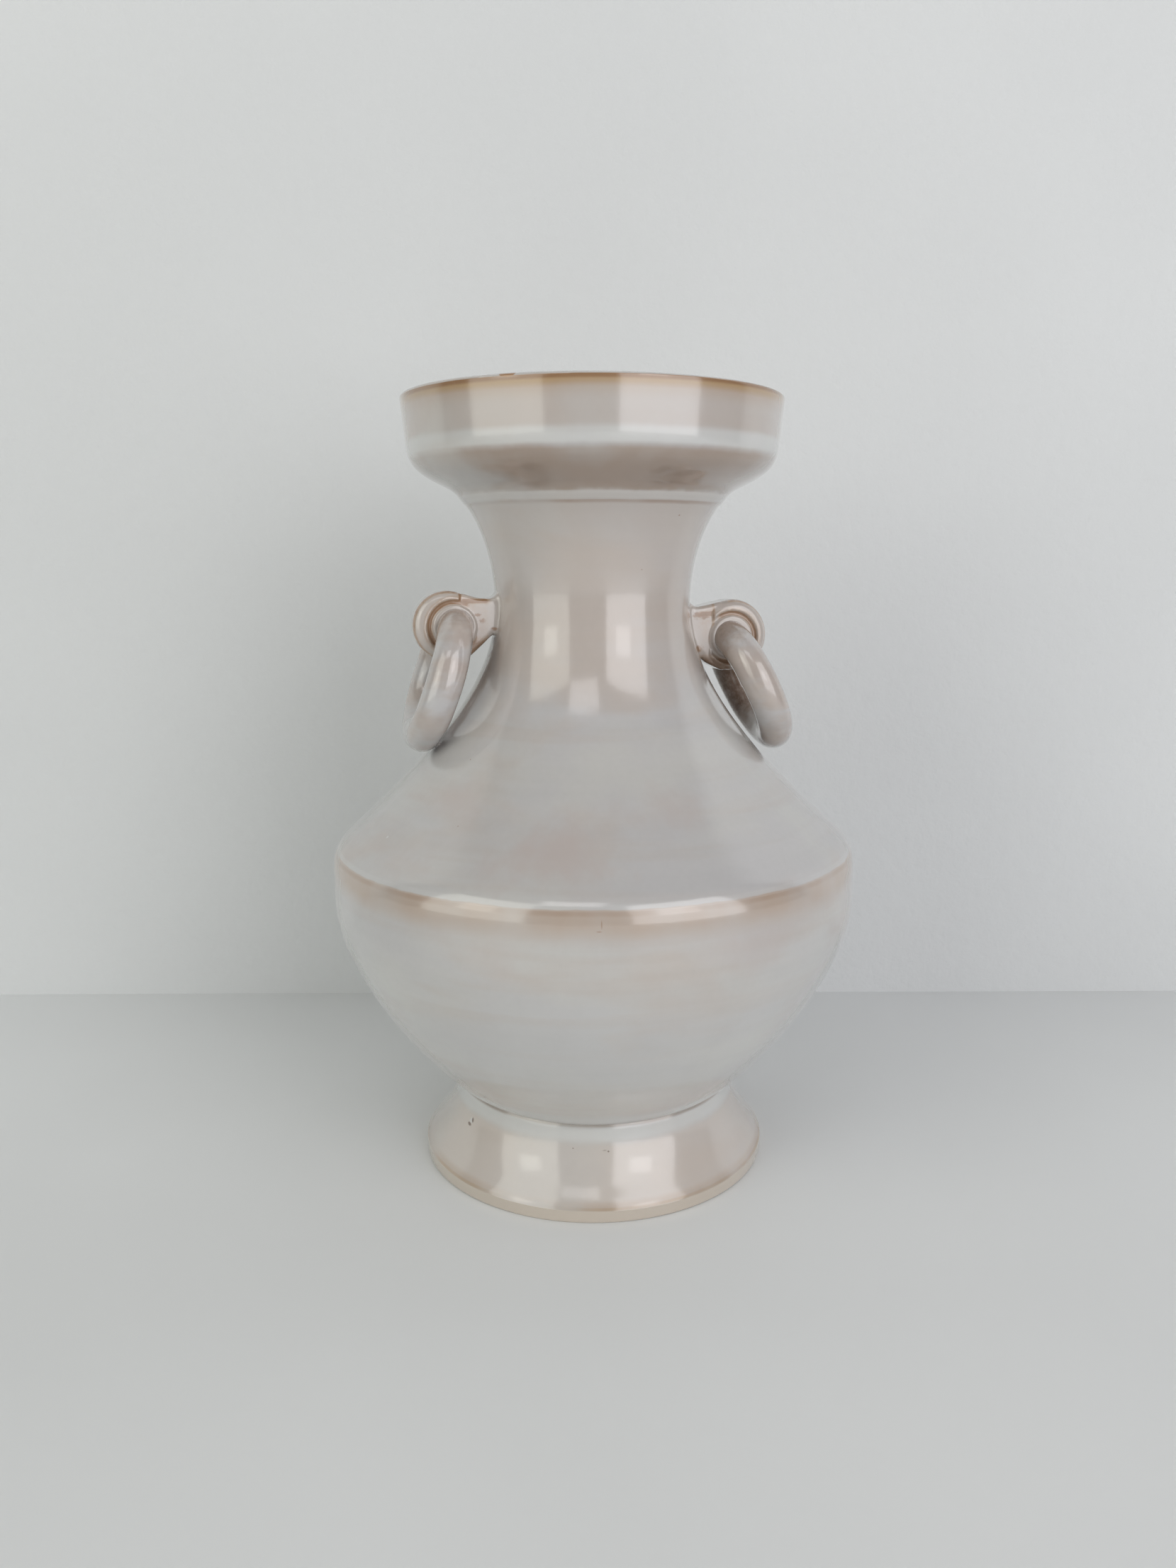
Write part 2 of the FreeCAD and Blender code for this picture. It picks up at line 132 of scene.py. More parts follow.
class RingSizes(bpy.types.PropertyGroup):
    """The two rings."""

    radius: length("Radius", "Radius of a ring's middle line", 22.2)
    hang: length("Hang", "How far a ring's middle hangs below the middle of its box", 0.8)
    tube: length("Tube", "Radius of a ring's tube", 6.85)
    left_tilt: turn("Left tilt", "How far the left ring swings out", 18.3)
    left_turn: turn("Left turn", "How far the left ring is turned about the upright", 182.0)
    right_tilt: turn("Right tilt", "How far the right ring swings out", 26.5)
    right_turn: turn("Right turn", "How far the right ring is turned about the upright", -4.0)
    unevenness: length("Unevenness", "How far a ring's surface wanders", 0.5)


class GlazeColours(bpy.types.PropertyGroup):
    """The colours of the glaze and the clay, and of the painted shade and light."""

    pale: shade("Pale", "Thick glaze, an even ivory grey", (0.542, 0.532, 0.51))
    cool: shade("Cool", "Glaze with a lavender cast", (0.51, 0.50, 0.50))
    warm: shade("Warm", "Pink brown clouds in the glaze", (0.50, 0.435, 0.39))
    blush: shade("Blush", "Wide pink clouds on the shoulder and the belly", (0.505, 0.445, 0.42))
    # Shadow is painted shade: the dish's downward underside and the crevice at the foot's joint, tinted the
    # glaze's brown grey
    shadow: shade("Shadow", "Brown grey glaze under the dish", (0.37, 0.31, 0.26))
    # Rose is the foot's pink glaze made paler, so it also paints the light that falls on the foot
    rose_and_painted_light: shade("Rose", "Pale pink glaze on the foot", (0.62, 0.55, 0.49))
    painted_ring_shade: shade("Dusk", "Glaze in the shade of a ring", (0.27, 0.205, 0.16))
    # Thick is glaze gathered in a fold, and also paints the highlight along the arris and the joint's ridge,
    # and the paler lit lower bowl
    thick_and_painted_light: shade("Thick", "Glaze that has gathered in a fold", (0.63, 0.635, 0.62))
    tan: shade("Tan", "Thin glaze beside an edge", (0.44, 0.315, 0.22))
    brown: shade("Brown", "Glaze that breaks thin over an edge", (0.27, 0.145, 0.07))
    # Umber is the dark clay in a nick, and also the darkest painted shade on the rings' far arms
    umber_and_ring_shade: shade("Umber", "The dark clay in a nick", (0.13, 0.075, 0.045))
    chip: shade("Chip", "The clay in the rim's chip", (0.33, 0.165, 0.06))
    ochre: shade("Ochre", "The line above the foot's lip", (0.42, 0.28, 0.14))
    clay: shade("Clay", "The bare lip under the foot", (0.56, 0.49, 0.41))
    ring: shade("Ring", "The rings' warmer glaze", (0.46, 0.40, 0.365))
    # Thin ring is the rings' thin glaze, and also their painted shade on the far arms and inner sides
    ring_thin_and_shade: shade("Thin ring", "The rings' glaze where it is thin", (0.31, 0.235, 0.185))
    gloss: share("Roughness", "Roughness of the glaze", 0.16)


class StageSettings(bpy.types.PropertyGroup):
    """The table, the wall behind it and the light."""

    table: shade("Table", "Colour of the table", (0.81, 0.825, 0.825))
    wall: shade("Wall", "Colour of the wall", (0.735, 0.75, 0.755))
    wall_distance: length("Wall distance", "Distance from the vase's axis to the wall", 165.0)
    window_light: FloatProperty(name="Window light", description="Power of the right window", default=14.2,
                                min=0, unit="POWER")
    room_light: FloatProperty(name="Room light", description="Strength of the light from the room",
                              default=0.2, min=0)


def fresh():
    """Deselects everything, because an operator acts on all that is selected."""
    bpy.ops.object.select_all(action="DESELECT")


def only(piece):
    """Makes one piece the active and only selected one."""
    fresh()
    piece.select_set(True)
    bpy.context.view_layer.objects.active = piece


def named(name):
    """Names the piece that was just made, and its mesh."""
    piece = bpy.context.object
    piece.name = name
    piece.data.name = name
    return piece


def settle(piece):
    """Puts the piece's place into its mesh."""
    only(piece)
    bpy.ops.object.transform_apply(location=True, rotation=True, scale=True)


def finish_with(piece, kind, **values):
    """Adds a modifier and applies it."""
    only(piece)
    modifier = piece.modifiers.new(kind.lower(), kind)
    for name, value in values.items():
        setattr(modifier, name, value)
    bpy.ops.object.modifier_apply(modifier=modifier.name)


def cut_away(piece, tool):
    """Takes a tool's shape out of the piece, and removes the tool."""
    finish_with(piece, "BOOLEAN", operation="DIFFERENCE", object=tool, solver="EXACT")
    bpy.data.objects.remove(tool)


def join(pieces, name):
    """Makes several pieces one."""
    only(pieces[0])
    for piece in pieces:
        piece.select_set(True)
    bpy.ops.object.join()
    return named(name)


def pick_all():
    """In edit mode: selects the whole mesh."""
    bpy.ops.mesh.select_all(action="SELECT")


def trace(name, points):
    """A chain of edges through points of the XZ plane, drawn by extruding one vertex. Edit mode stays on."""
    fresh()
    first = points[0]
    bpy.ops.mesh.primitive_plane_add(size=MM, location=(first[0], 0, first[1]))
    piece = named(name)
    settle(piece)
    bpy.ops.object.mode_set(mode="EDIT")
    bpy.ops.mesh.select_mode(type="VERT")
    pick_all()
    bpy.ops.mesh.merge(type="CENTER")
    for before, after in zip(points, points[1:]):
        step = (after[0] - before[0], 0, after[1] - before[1])
        bpy.ops.mesh.extrude_vertices_move(TRANSFORM_OT_translate={"value": step})
    pick_all()
    return piece


def close_up():
    """Closes seams, turns every face outwards and leaves edit mode."""
    pick_all()
    bpy.ops.mesh.remove_doubles(threshold=0.002 * MM)
    bpy.ops.mesh.normals_make_consistent(inside=False)
    bpy.ops.object.mode_set(mode="OBJECT")


def ease(value, low, high):
    """0 under low, 1 over high and a smooth step between."""
    part = min(max((value - low) / (high - low), 0.0), 1.0)
    return part * part * (3 - 2 * part)


def peak(value, centre, flat, foot):
    """1 within a flat half width of the centre and 0 beyond the foot's half width."""
    return 1 - ease(abs(value - centre), flat, foot)


def cubic(points, steps):
    """Points along a cubic curve with four control points, without its first."""
    a, b, c, d = (Vector(point) for point in points)
    made = []
    for step in range(1, steps + 1):
        t = step / steps
        s = 1 - t
        made.append(tuple(a * s ** 3 + b * 3 * s * s * t + c * 3 * s * t * t + d * t ** 3))
    return made


def straight(start, end, steps):
    """Points along a straight line, without its first."""
    return [tuple(a + (b - a) * step / steps for a, b in zip(start, end)) for step in range(1, steps + 1)]


# How far the shoulder and the flare lean out from the upright, going up
SHOULDER_LEAN = math.radians(-47.4)
FLARE_LEAN = math.radians(63.8)
# How far the outline's curves keep to their direction at each end
BELLY_HANDLE = 30.7 * MM
ARRIS_HANDLE = 3.9 * MM
SHOULDER_HANDLE = 31.1 * MM
NECK_HANDLE_DOWN = 31.6 * MM
NECK_HANDLE_UP = 22.9 * MM
FLARE_HANDLE_DOWN = 8.7 * MM
FLARE_HANDLE_UP = 8.1 * MM


def along(point, lean, distance):
    """The point that lies a distance further up a leaning line."""
    return (point[0] + distance * math.sin(lean), point[1] + distance * math.cos(lean))


def behind(point, lean, wall):
    """The point on the inside of the wall where the outline leans."""
    return (point[0] - wall * math.cos(lean), point[1] + wall * math.sin(lean))


def outside(v):
    """The outside outline from the foot's lip to the mouth."""
    belly = (v.belly_radius, v.belly_height)
    shoulder = (v.shoulder_radius, v.shoulder_height)
    neck = (v.neck_radius, v.neck_height)
    flare = (v.flare_radius, v.flare_height)
    mouth = (v.mouth_radius, v.mouth_height)
    # the foot climbs in a hollow curve to its joint with the bowl
    line = [(v.foot_radius, v.foot_lip), (v.foot_radius - 0.25 * MM, v.foot_lip + 0.3 * MM)]
    line += cubic([line[-1], (v.foot_radius - 3.5 * MM, 10.5 * MM), (v.joint_radius + 1.0 * MM, 17 * MM),
                   (v.joint_radius, v.joint_height - 0.6 * MM)], steps=22)
    line.append((v.joint_radius - 0.35 * MM, v.joint_height))
    # the bowl, the belly and the tight turn at the arris
    line += cubic([line[-1], (v.joint_radius + 9.9 * MM, v.joint_height + 7.3 * MM),
                   (belly[0], belly[1] - BELLY_HANDLE), belly], steps=38)
    side = (belly[0] - 0.2 * MM, belly[1] + 12.3 * MM)
    line += cubic([belly, (belly[0], belly[1] + 4.4 * MM), (side[0], side[1] - 4 * MM), side], steps=8)
    turned = along(shoulder, SHOULDER_LEAN, -v.arris)
    line += cubic([side, (side[0], side[1] + ARRIS_HANDLE),
                   along(turned, SHOULDER_LEAN, -ARRIS_HANDLE), turned], steps=16)
    line += cubic([turned, turned, shoulder, shoulder], steps=5)
    # the long shoulder and the neck, where the glaze stands proud in a band under the flare
    line += cubic([shoulder, along(shoulder, SHOULDER_LEAN, SHOULDER_HANDLE),
                   (neck[0], neck[1] - NECK_HANDLE_DOWN), neck], steps=34)
    rise = cubic([neck, (neck[0], neck[1] + NECK_HANDLE_UP),
                  along(flare, FLARE_LEAN, -FLARE_HANDLE_DOWN), flare], steps=44)
    band = v.flare_height - 4.8 * MM
    line += [(r + v.neck_band * peak(z, band, 1.0 * MM, 1.9 * MM), z) for r, z in rise]
    line += cubic([flare, along(flare, FLARE_LEAN, FLARE_HANDLE_UP),
                   (mouth[0] - 0.8 * MM, mouth[1] - 8.3 * MM), mouth], steps=16)
    return line


def lip(v):
    """The dish's wall, its bevelled lip and the turn to the inside."""
    rim = v.rim_height - 1.0 * MM
    line = straight((v.mouth_radius, v.mouth_height), (v.rim_radius, rim - 0.5 * MM), steps=6)
    line += [(v.rim_radius - 0.05 * MM, rim), (v.rim_radius - 0.35 * MM, rim + 0.35 * MM)]
    line += [(v.rim_radius - 1.2 * MM, rim + 0.75 * MM), (v.rim_radius - 2.4 * MM, v.rim_height)]
    line += cubic([line[-1], (v.rim_radius - 3.6 * MM, v.rim_height + 0.05 * MM),
                   (v.rim_radius - v.wall, rim + 0.5 * MM), (v.rim_radius - v.wall, rim - 0.8 * MM)], steps=6)
    return line


def inside(v):
    """The inside outline from the dish down to the middle of the floor."""
    w = v.wall
    top = (v.rim_radius - w, v.rim_height - 1.8 * MM)
    mouth = (v.mouth_radius - w, v.mouth_height + 0.3 * w)
    flare = behind((v.flare_radius, v.flare_height), FLARE_LEAN, w)
    neck = (v.neck_radius - w, v.neck_height)
    shoulder = behind((v.shoulder_radius, v.shoulder_height), SHOULDER_LEAN, w)
    belly = (v.belly_radius - w, v.belly_height)
    floor = v.floor_height
    line = straight(top, mouth, steps=5)
    line += cubic([mouth, (mouth[0] - 0.8 * MM, mouth[1] - 5.8 * MM),
                   along(flare, FLARE_LEAN, FLARE_HANDLE_UP), flare], steps=12)
    line += cubic([flare, along(flare, FLARE_LEAN, -FLARE_HANDLE_DOWN),
                   (neck[0], neck[1] + NECK_HANDLE_UP), neck], steps=14)
    line += cubic([neck, (neck[0], neck[1] - NECK_HANDLE_DOWN),
                   along(shoulder, SHOULDER_LEAN, SHOULDER_HANDLE), shoulder], steps=14)
    line += cubic([shoulder, along(shoulder, SHOULDER_LEAN, -18.1 * MM),
                   (belly[0], belly[1] + 6.3 * MM), belly], steps=8)
    line += cubic([belly, (belly[0], belly[1] - 31 * MM), (60 * MM, floor), (30 * MM, floor)], steps=16)
    return line + [(18 * MM, floor), (6 * MM, floor), (0, floor)]


def underside(v):
    """The outline under the foot, from the axis to the lip."""
    top = v.recess_depth
    round_top = (v.recess_radius - 3 * MM, top)
    side_top = (v.recess_radius, top - 3 * MM)
    foot_ring = (v.foot_radius - 8 * MM, 0.0)
    line = [(0, top), (8 * MM, top), (26 * MM, top), round_top]
    line += cubic([round_top, (v.recess_radius - 1.35 * MM, top),
                   (v.recess_radius, top - 1.35 * MM), side_top], steps=4)
    line += straight(side_top, foot_ring, steps=6)[:-1]
    line += [(foot_ring[0] - 0.2 * MM, 0.4 * MM), (foot_ring[0] + 0.4 * MM, 0.0)]
    line += [(v.foot_radius - 4 * MM, 0.0), (v.foot_radius - 0.9 * MM, 0.0)]
    line += cubic([line[-1], (v.foot_radius - 0.4 * MM, 0),
                   (v.foot_radius, 0.4 * MM), (v.foot_radius, 0.9 * MM)], steps=4)
    return line + [(v.foot_radius, 0.5 * v.foot_lip)]


class NeckSurface:
    """The vessel's outer radius at any height between the shoulder and the flare."""

    def __init__(self, v):
        self.line = [point for point in outside(v) if point[1] > v.shoulder_height]
        self.heights = [point[1] for point in self.line]

    def radius(self, height):
        spot = min(max(bisect.bisect(self.heights, height), 1), len(self.line) - 1)
        low, high = self.line[spot - 1], self.line[spot]
        part = (height - low[1]) / (high[1] - low[1])
        return low[0] + (high[0] - low[0]) * part

    def off(self, place):
        """How far a place lies outside the surface."""
        return math.hypot(place.x, place.y) - self.radius(place.z)


def wander(piece, amount, size, name):
    """Lets the surface wander a little, as hand work does."""
    texture = bpy.data.textures.get(name) or bpy.data.textures.new(name, "CLOUDS")
    texture.noise_scale = size
    finish_with(piece, "DISPLACE", texture=texture, strength=amount, mid_level=0.5, texture_coords="LOCAL")


def smooth_shading(piece, degrees):
    """Shades the piece smooth but for edges sharper than this."""
    only(piece)
    bpy.ops.object.shade_smooth_by_angle(angle=math.radians(degrees))


def dress(piece, material, node):
    """Gives a finished piece its glaze and its place on the frame."""
    if not piece.data.polygons:
        raise RuntimeError(f"{piece.name} came out empty")
    settle(piece)
    piece.data.materials.clear()
    piece.data.materials.append(material)
    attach(piece, "root")
    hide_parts(node)


# Materials


class Tree:
    """Adds nodes to a node tree and joins them."""

    def __init__(self, nodes, links):
        self.nodes = nodes
        self.links = links
        self.column = 0

    def add(self, kind, inputs=(), **settings):
        made = self.nodes.new(kind)
        made.location = (self.column * 40, -(self.column % 7) * 180)
        self.column += 1
        for name, value in settings.items():
            setattr(made, name, value)
        for name, value in dict(inputs).items():
            if isinstance(value, bpy.types.NodeSocket):
                self.links.new(value, made.inputs[name])
            else:
                made.inputs[name].default_value = value
        return made

    def math(self, operation, first, second=0.0, third=0.0):
        made = self.add("ShaderNodeMath", {0: first, 1: second, 2: third}, operation=operation)
        return made.outputs[0]

    def mix(self, factor, first, second, blend="MIX"):
        made = self.add("ShaderNodeMix", {0: factor, 6: first, 7: second}, data_type="RGBA", blend_type=blend)
        return made.outputs[2]

    def between(self, value, low, high, start=0.0, end=1.0):
        """A smooth step from start to end as the value goes from low to high."""
        made = self.add("ShaderNodeMapRange", {
            "Value": value, "From Min": low, "From Max": high, "To Min": start, "To Max": end},
            interpolation_type="SMOOTHSTEP")
        return made.outputs[0]

    def cloud(self, vector, scale, detail=2.0, roughness=0.5, distortion=0.0):
        made = self.add("ShaderNodeTexNoise", {"Vector": vector, "Scale": scale, "Detail": detail,
                                               "Roughness": roughness, "Distortion": distortion})
        return made.outputs[0]

    def stretch(self, vector, sizes, shift=(0.0, 0.0, 0.0)):
        made = self.add("ShaderNodeMapping", {"Vector": vector, "Scale": sizes, "Location": shift})
        return made.outputs[0]


def group(name, inputs, outputs):
    """A new shader node group with its sockets, and the tree to fill in."""
    made = bpy.data.node_groups.new(name, "ShaderNodeTree")
    for label, kind, value in inputs:
        socket = made.interface.new_socket(name=label, in_out="INPUT", socket_type=kind)
        if value is not None:
            socket.default_value = value
    for label, kind in outputs:
        made.interface.new_socket(name=label, in_out="OUTPUT", socket_type=kind)
    tree = Tree(made.nodes, made.links)
    entry = tree.add("NodeGroupInput")
    leave = tree.add("NodeGroupOutput")
    return made, tree, entry.outputs, leave.inputs


FLOAT = "NodeSocketFloat"
COLOUR = "NodeSocketColor"
VECTOR = "NodeSocketVector"


def mottle_group():
    """Clouds and fine brush bands in the glaze."""
    made, t, i, o = group("glaze_mottle", [
        ("Vector", VECTOR, None), ("Pale", COLOUR, None), ("Cool", COLOUR, None), ("Warm", COLOUR, None),
        ("Warmth", FLOAT, 0.4), ("Size", FLOAT, 16.0)], [("Color", COLOUR), ("Warm Mask", FLOAT)])
    flat = t.stretch(i["Vector"], (1.0, 1.0, 1.9))
    wide = t.cloud(flat, i["Size"], 3.0, 0.55)
    body = t.mix(t.between(wide, 0.36, 0.64), i["Pale"], i["Cool"])
    other = t.cloud(t.stretch(i["Vector"], (1.0, 1.0, 2.4), (3.1, 1.7, 0.4)), i["Size"], 3.0, 0.6, 0.4)
    warm = t.math("MULTIPLY", t.between(other, 0.47, 0.7), i["Warmth"])
    body = t.mix(warm, body, i["Warm"])
    streaks = t.cloud(t.stretch(i["Vector"], (6.0, 6.0, 95.0), (0.3, 0.8, 0.0)), 1.0, 3.0, 0.6, 0.3)
    body = t.mix(t.math("MULTIPLY", t.between(streaks, 0.5, 0.68), 0.3), body, i["Warm"])
    bands = t.cloud(t.stretch(i["Vector"], (4.0, 4.0, 170.0)), 1.0, 3.0, 0.6)
    value = t.math("MULTIPLY_ADD", bands, 0.10, 0.95)
    fine = t.cloud(i["Vector"], 420.0, 2.0)
    value = t.math("MULTIPLY_ADD", fine, 0.05, t.math("SUBTRACT", value, 0.025))
    grey = t.add("ShaderNodeCombineColor", {0: value, 1: value, 2: value})
    t.links.new(t.mix(1.0, body, grey.outputs[0], "MULTIPLY"), o["Color"])
    t.links.new(warm, o["Warm Mask"])
    return made


def wander_group():
    """Noise that every band and mark shares, so that their edges wander and thin out together."""
    made, t, i, o = group("glaze_wander", [("Vector", VECTOR, None)],
                          [("Edge", FLOAT), ("Patches", FLOAT), ("Fine", FLOAT)])
    edge = t.cloud(t.stretch(i["Vector"], (1.0, 1.0, 0.6)), 60.0, 3.0, 0.6)
    t.links.new(t.math("SUBTRACT", edge, 0.5), o["Edge"])
    patches = t.cloud(t.stretch(i["Vector"], (1.0, 1.0, 0.5), (0.7, 0.2, 0.9)), 24.0, 3.0)
    t.links.new(t.between(patches, 0.35, 0.62, 1.0, 0.0), o["Patches"])
    fine = t.cloud(i["Vector"], 320.0, 4.0, 0.65)
    t.links.new(t.math("SUBTRACT", fine, 0.5), o["Fine"])
    return made


def band_group():
    """A soft band round the vase between two heights, more ragged below than above."""
    made, t, i, o = group("height_band", [
        ("Height", FLOAT, 0.1), ("Edge", FLOAT, 0.0), ("Patches", FLOAT, 0.0), ("Top", FLOAT, 0.1),
        ("Bottom", FLOAT, 0.1), ("Soft Top", FLOAT, 0.002), ("Soft Bottom", FLOAT, 0.002),
        ("Ragged", FLOAT, 0.002), ("Patchy", FLOAT, 0.4)], [("Mask", FLOAT)])
    place = t.math("MULTIPLY_ADD", i["Edge"], i["Ragged"], i["Height"])
    clean = t.math("MULTIPLY_ADD", i["Edge"], t.math("MULTIPLY", i["Ragged"], 0.4), i["Height"])
    over = t.between(clean, i["Top"], t.math("ADD", i["Top"], i["Soft Top"]), 1.0, 0.0)
    under = t.between(place, t.math("SUBTRACT", i["Bottom"], i["Soft Bottom"]), i["Bottom"])
    kept = t.math("SUBTRACT", 1.0, t.math("MULTIPLY", i["Patches"], i["Patchy"]))
    t.links.new(t.math("MULTIPLY", t.math("MULTIPLY", over, under), kept), o["Mask"])
    return made


def mark_group():
    """A ragged patch at one place."""
    made, t, i, o = group("glaze_mark", [
        ("Vector", VECTOR, None), ("Fine", FLOAT, 0.0), ("Place", VECTOR, None), ("Size", VECTOR, None),
        ("Core", FLOAT, 0.6), ("Ragged", FLOAT, 1.0)], [("Mask", FLOAT)])
    off = t.add("ShaderNodeVectorMath", {0: i["Vector"], 1: i["Place"]}, operation="SUBTRACT").outputs[0]
    part = t.add("ShaderNodeVectorMath", {0: off, 1: i["Size"]}, operation="DIVIDE").outputs[0]
    far = t.add("ShaderNodeVectorMath", {0: part}, operation="LENGTH").outputs["Value"]
    far = t.math("MULTIPLY_ADD", i["Fine"], i["Ragged"], far)
    t.links.new(t.between(far, i["Core"], 1.0, 1.0, 0.0), o["Mask"])
    return made


def pit_group():
    """Rare dark specks and pinholes."""
    made, t, i, o = group("pinholes", [
        ("Vector", VECTOR, None), ("Scale", FLOAT, 110.0), ("Size", FLOAT, 0.05)], [("Mask", FLOAT)])
    cells = t.add("ShaderNodeTexVoronoi", {"Vector": i["Vector"], "Scale": i["Scale"]})
    chosen = t.add("ShaderNodeSeparateColor", {0: cells.outputs["Color"]}).outputs[0]
    chosen = t.math("GREATER_THAN", chosen, 0.93)
    near = t.between(cells.outputs["Distance"], t.math("MULTIPLY", i["Size"], 0.5), i["Size"], 1.0, 0.0)
    t.links.new(t.math("MULTIPLY", near, chosen), o["Mask"])
    return made


def relief_group():
    """Orange peel and throwing rings, as a height, and the unevenness of the gloss."""
    made, t, i, o = group("glaze_relief", [
        ("Vector", VECTOR, None), ("Rings", FLOAT, 0.5), ("Gloss", FLOAT, 0.16)],
        [("Height", FLOAT), ("Roughness", FLOAT)])
    peel = t.cloud(i["Vector"], 240.0, 2.0, 0.5)
    throwing = t.cloud(t.stretch(i["Vector"], (1.5, 1.5, 110.0)), 1.0, 2.0, 0.5)
    height = t.math("MULTIPLY_ADD", throwing, i["Rings"], t.math("MULTIPLY", peel, 0.25))
    t.links.new(height, o["Height"])
    patches = t.cloud(i["Vector"], 35.0, 3.0, 0.6)
    t.links.new(t.math("MULTIPLY_ADD", t.math("SUBTRACT", patches, 0.5), 0.10, i["Gloss"]), o["Roughness"])
    return made


def use(tree, which, inputs):
    """Places a node group and joins its inputs. Gives its outputs."""
    made = tree.add("ShaderNodeGroup", node_tree=which)
    for name, value in inputs.items():
        if isinstance(value, bpy.types.NodeSocket):
            tree.links.new(value, made.inputs[name])
        else:
            made.inputs[name].default_value = value
    return made.outputs


def opaque(colour):
    return (colour[0], colour[1], colour[2], 1.0)


def new_material(name):
    """An empty material, and the tree to fill in."""
    made = bpy.data.materials.new(name)
    made.use_nodes = True
    made.node_tree.nodes.clear()
    return made, Tree(made.node_tree.nodes, made.node_tree.links)


def glaze(name, colours, groups, tones, warmth, size, rings, clouds=(), bands=(), marks=()):
    """A glossy glaze: mottle, clouds, bands, marks, thin edges and the rings' painted shade from the mesh,
    pinholes and relief.

    The tones are the glaze's own colour, and its browner and brownest tones for thin glaze and the rings'
    painted shade.
    """
    pale, browner, brownest = tones
    made, t = new_material(name)
    place = t.add("ShaderNodeTexCoord").outputs["Object"]
    mottle = use(t, groups["mottle"], {
        "Vector": place, "Pale": opaque(pale), "Cool": opaque(colours.cool), "Warm": opaque(colours.warm),
        "Warmth": warmth, "Size": size})
    colour = mottle["Color"]
    wander_noise = use(t, groups["wander"], {"Vector": place})
    for tint, strength, settings in clouds:
        mask = use(t, groups["mark"], dict(settings, Vector=place, Fine=wander_noise["Edge"]))["Mask"]
        colour = t.mix(t.math("MULTIPLY", mask, strength), colour, opaque(tint))
    if bands:
        height = t.add("ShaderNodeSeparateXYZ", {0: place}).outputs[2]
        for tint, strength, settings in bands:
            mask = use(t, groups["band"], dict(settings, Height=height, Edge=wander_noise["Edge"],
                                               Patches=wander_noise["Patches"]))["Mask"]
            colour = t.mix(t.math("MULTIPLY", mask, strength), colour, opaque(tint))
    # on the rings this attribute also carries painted shade, mixed in with the same tones as thin glaze
    browning = t.add("ShaderNodeAttribute", attribute_name="thin_glaze").outputs["Fac"]
    tanned = t.between(t.math("MULTIPLY_ADD", wander_noise["Fine"], 0.5, browning), 0.05, 0.5)
    colour = t.mix(t.math("MULTIPLY", tanned, 0.75), colour, opaque(browner))
    brownest_share = t.between(t.math("MULTIPLY_ADD", wander_noise["Fine"], 0.7, browning), 0.45, 0.85)
    colour = t.mix(t.math("MULTIPLY", brownest_share, 0.9), colour, opaque(brownest))
    for tint, strength, settings in marks:
        mask = use(t, groups["mark"], dict(settings, Vector=place, Fine=wander_noise["Fine"]))["Mask"]
        colour = t.mix(t.math("MULTIPLY", mask, strength), colour, opaque(tint))
    pits = use(t, groups["pits"], {"Vector": place, "Scale": 95.0, "Size": 0.045})["Mask"]
    colour = t.mix(t.math("MULTIPLY", pits, 0.6), colour, opaque(colours.brown))
    relief = use(t, groups["relief"], {"Vector": place, "Rings": rings, "Gloss": colours.gloss})
    height = t.math("SUBTRACT", relief["Height"], t.math("MULTIPLY", pits, 0.6))
    bump = t.add("ShaderNodeBump", {"Height": height, "Strength": 0.25, "Distance": 0.0006})
    shader = t.add("ShaderNodeBsdfPrincipled", {
        "Base Color": colour, "Roughness": relief["Roughness"], "Normal": bump.outputs[0], "IOR": 1.6,
        "Coat Weight": 1.0, "Coat Roughness": 0.1, "Coat IOR": 1.5})
    out = t.add("ShaderNodeOutputMaterial")
    t.links.new(shader.outputs[0], out.inputs[0])
    return made


def band(top, bottom, soft_top, soft_bottom, ragged, patchy):
    """A band between two heights. All but the share of gaps is in millimetres."""
    return {"Top": top * MM, "Bottom": bottom * MM, "Soft Top": soft_top * MM,
            "Soft Bottom": soft_bottom * MM, "Ragged": ragged * MM, "Patchy": patchy}


def mark(place, size, core=0.5, ragged=1.2):
    """A mark at a place and as wide as asked, in millimetres."""
    return {"Place": tuple(part * MM for part in place), "Size": tuple(part * MM for part in size),
            "Core": core, "Ragged": ragged}


